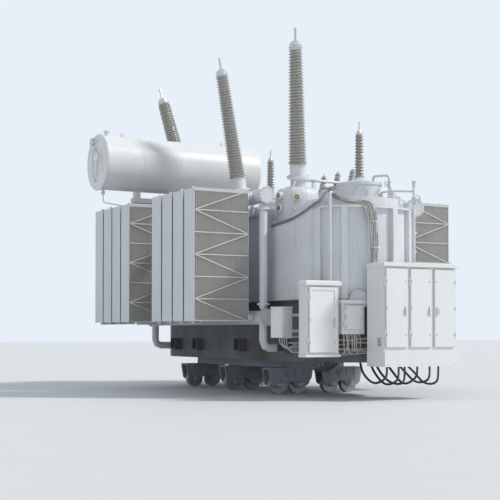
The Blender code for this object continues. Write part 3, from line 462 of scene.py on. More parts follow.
def pipe(points: Sequence[Point], radius: float, bend: float = 0.0, sides: int = 12) -> Mesh:
    """Makes a round pipe or cable along a path.

    Args:
        points: The corners of its path.
        radius: Its radius.
        bend: How far from a corner the bend starts, or 0 for a path that is smooth already.
        sides: About how many sides it has.

    Returns:
        The pipe as a closed mesh, settled.
    """
    clear_selection()
    path = rounded_path(points, bend) if bend else [Vector(point) for point in points]
    data = bpy.data.curves.new("run", "CURVE")
    data.dimensions = "3D"
    data.bevel_depth = radius
    data.bevel_resolution = max(0, sides // 4 - 1)
    data.use_fill_caps = True
    spline = data.splines.new("POLY")
    spline.points.add(len(path) - 1)
    for target, point in zip(spline.points, path):
        target.co = (*point, 1.0)
    obj = bpy.data.objects.new("run", data)
    bpy.context.collection.objects.link(obj)
    activate(obj)
    bpy.ops.object.convert(target="MESH")
    obj = bpy.context.active_object
    return edit(obj, lambda: bpy.ops.mesh.remove_doubles(threshold=MERGE_REACH))


def loop(centre: Point, turn: Point, radius: float, thick: float, sides: int) -> Mesh:
    """Makes a round ring, such as a hand wheel's rim or a lifting eye.

    Args:
        centre: Its middle.
        turn: Its rotation, in radians about each axis.
        radius: The radius of its middle line.
        thick: The radius of its bar.
        sides: How many sides the ring has.

    Returns:
        The ring, settled.
    """
    clear_selection()
    bpy.ops.mesh.primitive_torus_add(location=centre, rotation=turn, major_radius=radius,
                                     minor_radius=thick, major_segments=sides, minor_segments=6)
    return settle(bpy.context.active_object)


def joined(objects: Iterable[Mesh]) -> Mesh:
    """Joins several objects into one and returns it.

    Args:
        objects: The objects, at least one.

    Returns:
        The first object, which holds them all.
    """
    parts = list(objects)
    if len(parts) == 1:
        return parts[0]
    clear_selection()
    for part in parts:
        part.select_set(True)
    bpy.context.view_layer.objects.active = parts[0]
    bpy.ops.object.join()
    return parts[0]


def repeated(master: Mesh, places: Iterable[Matrix]) -> Mesh:
    """Copies a shape to many places as one mesh, and uses it up.

    Args:
        master: The shape, modelled at the origin.
        places: Where each copy goes.

    Returns:
        One object that holds all the copies.
    """
    gathered = bmesh.new()
    for place in places:
        before = len(gathered.verts)
        gathered.from_mesh(master.data)
        gathered.verts.ensure_lookup_table()
        bmesh.ops.transform(gathered, matrix=place, verts=gathered.verts[before:])
    gathered.to_mesh(master.data)
    gathered.free()
    return master


def facing(place: Point, direction: Point) -> Matrix:
    """The placement that turns +Z to a direction and moves it to a place."""
    turn = UP.rotation_difference(Vector(direction).normalized())
    return Matrix.Translation(Vector(place)) @ turn.to_matrix().to_4x4()


def bolt(size: float = 0.018) -> Mesh:
    """Models one hexagon bolt head on its washer at the origin.

    Args:
        size: The head's radius.

    Returns:
        The bolt, pointing along +Z.
    """
    clear_selection()
    bpy.ops.mesh.primitive_cylinder_add(vertices=6, radius=size * 1.35, depth=size * 0.3,
                                        location=(0.0, 0.0, size * 0.15))
    obj = settle(bpy.context.active_object)

    def work() -> None:
        """Insets the washer's top and raises the head from it."""
        pick(obj, "polygons", lambda face: face.normal.z > 0.9)
        bpy.ops.mesh.inset(thickness=size * 0.35)
        bpy.ops.mesh.extrude_region_move(TRANSFORM_OT_translate={"value": (0.0, 0.0, size * 0.75)})

    return edit(obj, work)


def stadium(centre: Point, run: float, radius: float, low: float, high: float, sides: int = 96) -> Mesh:
    """Models a plate or wall with a plan of two half circles and straight sides.

    Args:
        centre: The middle of its plan.
        run: The length of its straight sides, along Y.
        radius: The radius of its ends.
        low: The height of its bottom.
        high: The height of its top.
        sides: How many sides its two ends have together.

    Returns:
        The solid, settled.
    """
    clear_selection()
    bpy.ops.mesh.primitive_cylinder_add(vertices=sides, radius=radius, depth=high - low,
                                        location=(centre[0], centre[1], (low + high) / 2),
                                        rotation=(0.0, 0.0, pi / sides))
    obj = settle(bpy.context.active_object)
    for sign in (-1, 1):
        def work(sign: int = sign) -> None:
            """Draws one half of the disc out along Y."""
            pick(obj, "vertices", lambda vertex: (vertex.co.y - centre[1]) * sign > 0.0)
            bpy.ops.transform.translate(value=(0.0, sign * run / 2, 0.0))

        edit(obj, work)
    return obj


def combined(target: Mesh, others: Iterable[Mesh], operation: str) -> Mesh:
    """Adds the volumes of other shapes to a shape, or takes them out of it, and keeps the others.

    Args:
        target: The shape that changes.
        others: The shapes that it is combined with.
        operation: "UNION" or "DIFFERENCE".

    Returns:
        The changed shape.
    """
    for other in others:
        activate(target)
        bpy.ops.object.modifier_add(type="BOOLEAN")
        modifier = target.modifiers[-1]
        modifier.operation = operation
        modifier.solver = "EXACT"
        modifier.object = other
        bpy.ops.object.modifier_apply(modifier=modifier.name)
    return target


def around(centre: Point, angle: float, radius: float, z: float) -> tuple[Vector, Vector]:
    """A place around an upright axis.

    Args:
        centre: Where the axis stands.
        angle: Degrees to the right of the way that faces the camera.
        radius: The distance from the axis.
        z: The height.

    Returns:
        The place, and the way out from the axis there.
    """
    turn = radians(angle - 90.0 - VIEW_TURN)
    out = at(cos(turn), sin(turn), 0.0)
    return at(centre[0], centre[1], z) + out * radius, out


def ring_places(centre: Point, direction: Point, radius: float, count: int) -> list[Matrix]:
    """Placements around a circle, each facing along the circle's axis.

    Args:
        centre: The circle's middle.
        direction: The circle's axis.
        radius: Its radius.
        count: How many places it has.

    Returns:
        The placements.
    """
    base = facing(centre, direction)
    return [base @ Matrix.Rotation(tau * i / count, 4, "Z") @ Matrix.Translation((radius, 0.0, 0.0))
            for i in range(count)]


def flange(centre: Point, direction: Point, radius: float, thick: float, count: int, size: float = 0.014,
           neck: float = 0.0) -> list[Mesh]:
    """Models a bolted blind flange.

    Args:
        centre: The middle of its back face.
        direction: The way its front face looks.
        radius: Its outer radius.
        thick: Its thickness.
        count: How many bolts it has.
        size: The radius of a bolt's head.
        neck: The length of a stub behind it, or 0 for none.

    Returns:
        Its disc, with its bolts as a second object.
    """
    axis = Vector(direction).normalized()
    edge = thick * 0.15
    profile = [(0.0, radius), (thick - edge, radius), (thick, radius - edge)]
    if neck:
        profile = [(-neck, radius * 0.66), (0.0, radius * 0.66), *profile]
    disc = spun(profile, centre, axis, 28)
    face = Vector(centre) + axis * thick
    heads = repeated(bolt(size), ring_places(face, axis, radius - size * 2.1, count))
    return [disc, heads]


@dataclass
class Piece:
    """What a finished piece is called, made of and carried by."""

    name: str
    finish: Finish
    slot: Slot = Slot.TANK
    body: str = ROOT
    nodes: tuple[str, ...] = ()
    smooth: float = 35.0

    def finished(self, obj: Mesh) -> Mesh:
        """Names, shades and dresses an object, and ties it to its body.

        Args:
            obj: The modelled shape.

        Returns:
            The same object.
        """
        settle(obj)
        obj.name = self.name
        obj.data.name = self.name
        obj.data.materials.clear()
        obj.data.materials.append(Palette.get(self.finish))
        activate(obj)
        bpy.ops.object.shade_smooth_by_angle(angle=radians(self.smooth))
        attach(obj, self.body)
        if self.nodes:
            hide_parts(*self.nodes)
        LOG.info("piece %s: %d faces", self.name, len(obj.data.polygons))
        return obj


def dress_node(name: str, finish: Finish) -> None:
    """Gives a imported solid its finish.

    Args:
        name: The solid's name.
        finish: Its finish.
    """
    node = frame["nodes"][name]
    node.data.materials.clear()
    node.data.materials.append(Palette.get(finish))


def middle_of(name: str) -> tuple[float, float]:
    """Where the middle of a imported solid's box is along X and Y."""
    low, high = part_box(name)
    return (low[0] + high[0]) / 2, (low[1] + high[1]) / 2


def mount(name: str) -> tuple[Vector, Vector]:
    """Where a mount of the record is, and the way it points."""
    found = next(item for item in frame["record"]["mounts"] if item["name"] == name)
    return Vector(found["pos_m"]), Vector(found["axis"]).normalized()


@dataclass
class RadiatorBank:
    """Four radiators of pressed panels, braced across their ends."""

    end: str
    side: Side
    radiators: int = 4
    pitch: float = 0.587
    width: float = 0.52
    panels: int = 31
    thick: float = 0.012
    seam: float = 0.014
    seam_thick: float = 0.0035
    rail_drop: float = 0.05
    corner: float = 0.03
    brace_width: float = 0.026
    brace_thick: float = 0.006
    spans: int = 6
    strip_height: float = 0.07
    cap_radius: float = 0.034

    @property
    def node(self) -> str:
        """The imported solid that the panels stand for."""
        return f"radiator_bank_{self.end}_{self.side.name.lower()}"

    def limits(self) -> tuple[Vector, Vector]:
        """The bank's corners, from the bottoms of its panels up.

        Returns:
            The lowest and the highest corner.
        """
        low, high = (Vector(corner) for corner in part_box(self.node))
        low.z += self.rail_drop
        return low, high

    def build(self) -> None:
        """Models the bank's panels, end plates, bracing, rails and caps."""
        for part, finish, nodes, shape in (
                ("panels", Palette.PANEL, (self.node,), self.stack),
                ("end_plates", Palette.PLATE, (), self.plates), ("bracing", Palette.BRACE, (), self.bracing),
                ("rails", Palette.BRACE, (), self.rails), ("caps", Palette.CABINET, (), self.caps)):
            name = f"radiator_{part}_{self.end}_{self.side.name.lower()}"
            Piece(name, finish, Slot.RADIATOR, nodes=nodes).finished(shape())

    def middles(self) -> list[float]:
        """Where the middle of each radiator is along Y."""
        low, _ = self.limits()
        return [low.y + self.width / 2 + self.pitch * i for i in range(self.radiators)]

    def panel(self) -> Mesh:
        """Models one pressed panel at the origin, with a thin welded seam down each edge.

        Returns:
            The panel, its lowest edge at z = 0.
        """
        low, high = self.limits()
        height = high.z - low.z
        half = self.width / 2 - self.seam
        obj = block((-self.thick / 2, -half, self.seam), (self.thick / 2, half, height - self.seam))
        for axis, sign in ((1, 1), (1, -1), (2, 1), (2, -1)):
            self.draw_seam(obj, axis, sign)
        return obj

    def draw_seam(self, obj: Mesh, axis: int, sign: int) -> None:
        """Extrudes the outermost face on one side to a thin seam.

        Args:
            obj: The panel.
            axis: 1 for the sides, 2 for the top and bottom.
            sign: The end of that axis.
        """
        reach = max(face.center[axis] * sign for face in obj.data.polygons)

        def work() -> None:
            """Extrudes the edge of the panel and thins it."""
            pick(obj, "polygons", lambda face: face.center[axis] * sign > reach - 0.001
                 and abs(face.normal[axis]) > 0.9)
            step = [0.0, 0.0, 0.0]
            step[axis] = self.seam * sign
            bpy.ops.mesh.extrude_region_move(TRANSFORM_OT_translate={"value": step})
            bpy.ops.transform.resize(value=(self.seam_thick / self.thick, 1.0, 1.0))

        edit(obj, work)

    def stack(self) -> Mesh:
        """Repeats the panel for every radiator, with the header tubes through the stack.

        Returns:
            The bank's inner panels as one mesh.
        """
        low, high = self.limits()
        spacing = (high.x - low.x - self.thick) / (self.panels - 1)
        places = [Matrix.Translation((low.x + self.thick / 2 + spacing * i, y, low.z))
                  for y in self.middles() for i in range(1, self.panels - 1)]
        tubes = [spun(((0.0, 0.045), (high.x - low.x - 0.01, 0.045)), (low.x + 0.005, y, z), (1, 0, 0), 12)
                 for y in self.middles() for z in (low.z + 0.09, high.z - 0.09)]
        return joined([repeated(self.panel(), places), *tubes])

    def plates(self) -> Mesh:
        """Models the flat plates that close each radiator on both faces.

        Returns:
            The plates as one mesh.
        """
        low, high = self.limits()
        parts = []
        for x in (low.x, high.x - self.thick):
            for y in self.middles():
                half = self.width / 2
                parts.append(block((x, y - half, low.z), (x + self.thick, y + half, high.z), 0.003))
        return joined(parts)

    def bracing(self) -> Mesh:
        """Models the flat bars across both ends of the bank: level bars and a zigzag.

        Returns:
            The bars as one mesh.
        """
        low, high = self.limits()
        parts = []
        inner, outer = (high.x, low.x) if self.side is Side.LEFT else (low.x, high.x)
        rise = (high.z - low.z) / self.spans
        for y, away in ((low.y, -1), (high.y, 1)):
            near, far = sorted((y, y + away * self.brace_thick))
            parts.append(block((low.x, near, high.z - self.strip_height), (high.x, far, high.z)))
            parts.append(block((low.x, near, low.z), (high.x, far, low.z + self.brace_width)))
            for level in range(1, self.spans):
                z = high.z - rise * level
                half = self.brace_width / 2
                parts.append(block((low.x, near, z - half), (high.x, far, z + half)))
            for span in range(self.spans):
                ends = (inner, outer) if span % 2 == 0 else (outer, inner)
                top = at(ends[0], (near + far) / 2, high.z - rise * span)
                foot = at(ends[1], (near + far) / 2, high.z - rise * (span + 1))
                parts.append(self.diagonal(top, foot, away))
        return joined(parts)

    def diagonal(self, top: Vector, foot: Vector, away: int) -> Mesh:
        """Models one slanted flat bar between two corners of the bracing.

        Args:
            top: Its upper corner.
            foot: Its lower corner.
            away: The sign of Y that faces away from the bank.

        Returns:
            The bar, settled.
        """
        run = foot - top
        length = run.length - self.brace_width * 2
        half = self.brace_width / 2
        bar = block((-half, -self.brace_thick / 2, -length / 2), (half, self.brace_thick / 2, length / 2))
        lean = atan2(run.x, run.z)
        middle = (top + foot) / 2 + at(0.0, away * self.brace_thick, 0.0)
        bar.matrix_world = Matrix.Translation(middle) @ Matrix.Rotation(lean, 4, "Y")
        return settle(bar)

    def rails(self) -> Mesh:
        """Models the channels under the bank, with a foot at each radiator.

        Returns:
            The channels and feet as one mesh.
        """
        low, high = self.limits()
        parts = []
        for share in (0.12, 0.88):
            x = low.x + (high.x - low.x) * share
            parts.append(block((x - 0.03, low.y, low.z - self.rail_drop), (x + 0.03, high.y, low.z - 0.042)))
            parts.append(block((x - 0.004, low.y, low.z - 0.045), (x + 0.004, high.y, low.z)))
            for y in self.middles():
                parts.append(block((x - 0.03, y - 0.06, low.z - 0.008), (x + 0.03, y + 0.06, low.z), 0.002))
        return joined(parts)

    def caps(self) -> Mesh:
        """Models the vent caps on top of each radiator and the drain plugs below.

        Returns:
            The caps and plugs as one mesh.
        """
        low, high = self.limits()
        outer = low.x + 0.10 if self.side is Side.LEFT else high.x - 0.10
        inner = high.x - 0.16 if self.side is Side.LEFT else low.x + 0.16
        r = self.cap_radius
        cap = spun(((-0.02, r * 0.7), (0.015, r * 0.7), (0.015, r), (0.045, r), (0.055, r * 0.7)),
                   ORIGIN, UP, 14)
        places = [Matrix.Translation((x, y, high.z)) for y in self.middles() for x in (outer, inner)]
        places += [Matrix.Translation((outer, y, low.z)) @ Matrix.Rotation(pi, 4, "X")
                   for y in self.middles()]
        return repeated(cap, places)


@dataclass
class CoolingPipes:
    """One side's collectors and risers, with the valves of every radiator."""

    side: Side
    valve_radius: float = 0.105
    valve_thick: float = 0.055
    rim_reach: float = 0.1932
    end_bolt_ring: float = 0.172
    riser_bolt_ring: float = 0.125
    riser_flange: float = 0.16

    @property
    def label(self) -> str:
        """The side's name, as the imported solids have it."""
        return self.side.name.lower()

    def build(self) -> None:
        """Dresses the pipes and models their valves and the bolts of their blind ends and riser flanges."""
        for name in ("upper_collector", "lower_collector", "riser_front", "riser_rear"):
            dress_node(f"{name}_{self.label}", Palette.TANK)
        Piece(f"radiator_valves_{self.label}", Palette.TANK).finished(self.valves())
        Piece(f"collector_bolts_{self.label}", Palette.STEEL).finished(self.end_bolts())

    def levels(self) -> list[tuple[Vector, Vector]]:
        """The axis ends of the upper and the lower collector.

        Returns:
            The front and the rear end of each axis.
        """
        found = []
        x, _ = middle_of(f"riser_front_{self.label}")
        for level in ("upper", "lower"):
            low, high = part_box(f"{level}_collector_{self.label}")
            z = high[2] - self.rim_reach
            found.append((at(x, low[1], z), at(x, high[1], z)))
        return found

    def valves(self) -> Mesh:
        """Models a butterfly valve with its lever on every radiator's stub.

        Returns:
            The valves as one mesh.
        """
        r, t = self.valve_radius, self.valve_thick
        body = spun(((-t, r), (-t * 0.3, r), (-t * 0.3, r * 0.8), (t * 0.3, r * 0.8), (t * 0.3, r), (t, r)),
                    ORIGIN, (1, 0, 0), 20)
        stem = spun(((0.0, 0.014), (r + 0.05, 0.014)), ORIGIN, UP, 8)
        lever = block((-0.012, -0.09, r + 0.035), (0.012, 0.02, r + 0.047), 0.003)
        master = joined([body, stem, lever])
        places = []
        for start, _ in self.levels():
            for end in ("front", "rear"):
                bank = RadiatorBank(end, self.side)
                low, high = bank.limits()
                inner = high.x if self.side is Side.LEFT else low.x
                x = inner + (start.x - inner) * 0.36
                places += [Matrix.Translation((x, y, start.z)) for y in bank.middles()]
        return repeated(master, places)

    def end_bolts(self) -> Mesh:
        """Models the bolts around the collectors' blind ends and the risers' flanges.

        Returns:
            The bolts as one mesh.
        """
        places = []
        for start, end in self.levels():
            places += ring_places(start, (0, -1, 0), self.end_bolt_ring, 12)
            places += ring_places(end, (0, 1, 0), self.end_bolt_ring, 12)
        for riser in (f"riser_front_{self.label}", f"riser_rear_{self.label}"):
            (x, y), (low, high) = middle_of(riser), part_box(riser)
            for z, way in ((low[2] + self.riser_flange, 1), (high[2] - self.riser_flange, -1)):
                places += ring_places((x, y, z), (0, 0, way), self.riser_bolt_ring, 8)
        return repeated(bolt(0.013), places)


def shed_profile(length: float, count: int, foot: float, tip: float, lips: tuple[float, float]
                 ) -> list[tuple[float, float]]:
    """The profile of a porcelain with a wide and a narrow shed in turn.

    Args:
        length: The porcelain's length.
        count: How many sheds it has.
        foot: The core's radius at the foot.
        tip: The core's radius at the tip.
        lips: How far the wide and the narrow sheds stand out.

    Returns:
        Pairs of (distance, radius).
    """
    pitch = length / count
    points = [(0.0, foot)]
    for shed in range(count):
        core = foot + (tip - foot) * (shed + 0.5) / count
        start = pitch * shed
        lip = lips[shed % 2]
        points += [(start + pitch * 0.18, core), (start + pitch * 0.34, core + lip),
                   (start + pitch * 0.50, core + lip * 0.96), (start + pitch * 0.86, core)]
    points.append((length, tip))
    return points


@dataclass(frozen=True)
class SlantedSeats:
    """The three slanted seats in a row, on which the high-voltage turrets stand."""

    x: float = -0.565
    z: float = 4.20
    ys: tuple[float, ...] = (-2.0175, 0.8025, 3.6225)
    tilt: float = radians(28.0)

    def middles(self) -> list[Vector]:
        """The middle of each seat."""
        return [at(self.x, y, self.z) for y in self.ys]

    def normal(self) -> Vector:
        """The way that the seats face."""
        return at(-sin(self.tilt), 0.0, cos(self.tilt))

    def along(self) -> Vector:
        """The way up each seat's slant."""
        return at(cos(self.tilt), 0.0, sin(self.tilt))


SEATS = SlantedSeats()


@dataclass
class HighVoltageBushing:
    """One leaning high-voltage bushing on its slanted turret."""

    number: int
    porcelain: float = 2.58
    cap: float = 0.20
    stem: float = 0.28
    sheds: int = 38
    foot: float = 0.176
    tip: float = 0.124
    lips: tuple[float, float] = (0.050, 0.044)
    seat_radius: float = 0.63
    drum_radius: float = 0.53
    drum_shift: float = 0.02

    def build(self) -> None:
        """Models the porcelain, its cap and terminal, and the turret's fittings."""
        base, axis = self.base(), self.axis()
        glaze = spun(shed_profile(self.porcelain, self.sheds, self.foot, self.tip, self.lips), base, axis, 36)
        n = self.number
        Piece(f"hv_porcelain_{n}", Palette.HV_GLAZE, Slot.HV, nodes=(f"hv_bushing_{n}",),
              smooth=50.0).finished(glaze)
        Piece(f"hv_terminal_{n}", Palette.STEEL).finished(self.terminal())
        Piece(f"hv_turret_housing_{n}", Palette.TANK,
              nodes=(f"hv_turret_{n}",)).finished(self.housing())
        Piece(f"hv_turret_bolts_{n}", Palette.STEEL).finished(self.turret_bolts())
        Piece(f"hv_turret_fittings_{n}", Palette.TANK).finished(self.fittings())
        Piece(f"hv_port_glass_{n}", Palette.BRASS).finished(self.port_glass())

    def axis(self) -> Vector:
        """The bushing's direction."""
        return mount(f"hv_terminal_{self.number}")[1]

    def base(self) -> Vector:
        """The foot of the porcelain."""
        return mount(f"hv_terminal_{self.number}")[0] - self.axis() * (self.porcelain + self.cap + self.stem)

    def terminal(self) -> Mesh:
        """Models the oil-level cap and the flat terminal on the stem.

        Returns:
            The cap, stem and terminal as one mesh.
        """
        t, axis = self.tip, self.axis()
        start = self.base() + axis * self.porcelain
        cap = spun(((0.0, t + 0.02), (0.03, t + 0.035), (0.05, t + 0.035), (0.05, t + 0.015),
                    (0.13, t + 0.01), (0.18, t * 0.7), (0.20, 0.05), (0.20, 0.028),
                    (self.cap + self.stem, 0.028)), start, axis, 28)
        heads = repeated(bolt(0.012), ring_places(start + axis * 0.05, axis, t + 0.022, 12))
        return joined([cap, heads])

    def housing(self) -> Mesh:
        """Models the turret: a slanted flange, an upright drum that is cut along it, and the neck.

        Returns:
            The turret as one mesh.
        """
        seat, normal, rim = self.seat(), SEATS.normal(), self.seat_radius
        drum = spun(((0.0, self.drum_radius), (1.16, 0.505), (1.24, 0.49), (1.31, 0.45), (1.34, 0.40),
                     (1.36, 0.30)), seat + at(self.drum_shift, 0.0, -0.75), UP, 56)
        edit(drum, lambda: bpy.ops.mesh.bisect(plane_co=seat + normal * 0.02, plane_no=normal,
                                               use_fill=True, clear_inner=True))
        ring = spun(((0.0003, rim), (0.045, rim), (0.05, rim - 0.005), (0.05, rim - 0.08)), seat, normal, 56)
        neck = spun(((0.0, 0.21), (0.10, 0.18), (0.24, 0.18), (0.26, 0.20), (0.265, 0.255), (0.27, 0.265),
                     (0.32, 0.265), (0.325, 0.255), (0.33, 0.205), (0.36, 0.19), (0.60, 0.19),
                     (0.605, 0.215), (0.6195, 0.215)), self.base() - self.axis() * 0.62, self.axis(), 48)
        return joined([drum, ring, neck])

    def turret_bolts(self) -> Mesh:
        """Models the bolts around the slanted seat and around the bushing's collar.

        Returns:
            The bolts as one mesh.
        """
        normal, axis = SEATS.normal(), self.axis()
        places = ring_places(self.seat() + normal * 0.05, normal, self.seat_radius - 0.032, 28)
        places += ring_places(self.base() - axis * 0.30, axis, 0.232, 14)
        return repeated(bolt(0.016), places)

    def seat(self) -> Vector:
        """The middle of the slanted seat."""
        return SEATS.middles()[self.number - 1]

    def around(self, angle: float, radius: float, z: float) -> tuple[Vector, Vector]:
        """A place around the turret's upright drum, as around() gives it."""
        return around(self.seat() + at(self.drum_shift, 0.0, 0.0), angle, radius, z)

    def ports(self) -> list[tuple[Vector, Vector]]:
        """The middles and the directions of the round ports in the turret's wall."""
        return [self.around(*place) for place in (
            (-3.0, 0.53, 4.545), (-49.0, 0.55, 4.60), (-49.0, 0.55, 4.31))]

    def fittings(self) -> Mesh:
        """Models the turret's ports, lifting lugs and neck seat, and the hose around the front one.

        Returns:
            The fittings as one mesh.
        """
        parts = [spun(((-0.06, 0.085), (0.0, 0.085), (0.005, 0.098), (0.03, 0.098), (0.05, 0.085),
                       (0.05, 0.06), (0.02, 0.055)), centre, out, 24) for centre, out in self.ports()]
        for y in (-0.30, 0.30):
            place = self.seat() + at(0.30, y, 0.62)
            half = at(0.05, 0.012, 0.08)
            parts.append(block(place - half + UP * 0.01, place + half + UP * 0.01, 0.01))
        parts.append(spun(((0.0, 0.29), (0.03, 0.29), (0.035, 0.285)),
                          self.seat() + at(0.03, 0.0, 0.60), UP, 32))
        if self.number == 1:
            run = [self.around(angle, radius, z)[0] for angle, radius, z in (
                (-11.0, 0.22, 4.98), (-11.0, 0.42, 4.86), (-11.0, 0.56, 4.74), (-12.0, 0.57, 4.42),
                (-6.0, 0.59, 4.22), (10.0, 0.62, 4.14), (26.0, 0.62, 4.20), (40.0, 0.60, 4.36))]
            parts.append(pipe(run, 0.014, 0.10, 8))
        return joined(parts)

    def port_glass(self) -> Mesh:
        """Models the brass discs in the ports."""
        return joined(spun(((0.018, 0.058), (0.026, 0.056), (0.034, 0.02)), centre, out, 20)
                      for centre, out in self.ports())


@dataclass
class SmallBushing:
    """One upright bushing on a round pot of the cover."""

    name: str
    sheds: int = 14
    porcelain: float = 1.02
    cap: float = 0.13
    stem: float = 0.20
    radius: float = 0.085
    lips: tuple[float, float] = (0.036, 0.030)

    @property
    def neutral(self) -> bool:
        """Whether this is the neutral bushing, whose pot is smaller and stands on the raised cover."""
        return self.name == "neutral"

    @property
    def lid_drop(self) -> float:
        """How far the lid's face lies below the top of the bushing's seat."""
        return 0.08 if self.neutral else 0.16

    def build(self) -> None:
        """Models the porcelain, the terminal and the pot's bolts."""
        top, axis = mount("neutral_terminal" if self.neutral else f"mv_terminal_{self.name[-1]}")
        base = top - axis * (self.porcelain + self.cap + self.stem)
        profile = shed_profile(self.porcelain, self.sheds, self.radius, self.radius * 0.85, self.lips)
        Piece(f"{self.name}_porcelain", Palette.MV_GLAZE, Slot.MV,
              nodes=(f"{self.name}_bushing",), smooth=50.0).finished(spun(profile, base, axis, 28))
        start = base + axis * self.porcelain
        cap = spun(((0.0, 0.085), (0.04, 0.088), (0.05, 0.06), (0.11, 0.045), (0.13, 0.036), (0.13, 0.017),
                    (self.cap + self.stem, 0.017)), start, axis, 20)
        Piece(f"{self.name}_terminal_cap", Palette.STEEL).finished(cap)
        Piece(f"{self.name}_pot", Palette.TANK,
              nodes=(f"{self.name}_turret",)).finished(self.pot())
        Piece(f"{self.name}_pot_bolts", Palette.STEEL).finished(self.pot_bolts(base))

    def pot(self) -> Mesh:
        """Models the pot: a body that widens upwards, a flanged lid and the bushing's seat.

        Returns:
            The pot.
        """
        low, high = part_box(f"{self.name}_turret")
        rim, top = (high[0] - low[0]) / 2, high[2] - low[2]
        seat, waist, lid = self.radius + 0.05, rim * 0.86, top - self.lid_drop
        foot = (0.0, 0.025) if self.neutral else (-0.225, -0.20)
        profile = ((foot[0], waist + 0.03), (foot[1], waist + 0.03), (foot[1] + 0.005, waist),
                   (lid - 0.08, rim * 0.94), (lid - 0.06, rim), (lid, rim), (lid + 0.002, rim * 0.95),
                   (top - 0.09, rim * 0.42), (top - 0.06, seat + 0.015), (top, seat + 0.015),
                   (top, seat * 0.6))
        return spun(profile, (*middle_of(f"{self.name}_turret"), low[2]), UP, 56)

    def pot_bolts(self, base: Vector) -> Mesh:
        """Models the bolts around the pot's lid and the bushing's foot.

        Args:
            base: The foot of the porcelain.

        Returns:
            The bolts as one mesh.
        """
        low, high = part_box(f"{self.name}_turret")
        x, y = middle_of(f"{self.name}_turret")
        radius = (high[0] - low[0]) / 2
        places = ring_places((x, y, high[2] - self.lid_drop), UP, radius - 0.022, 24 if radius > 0.3 else 12)
        places += ring_places((x, y, base.z - 0.03), UP, self.radius + 0.033, 8)
        return repeated(bolt(0.011), places)


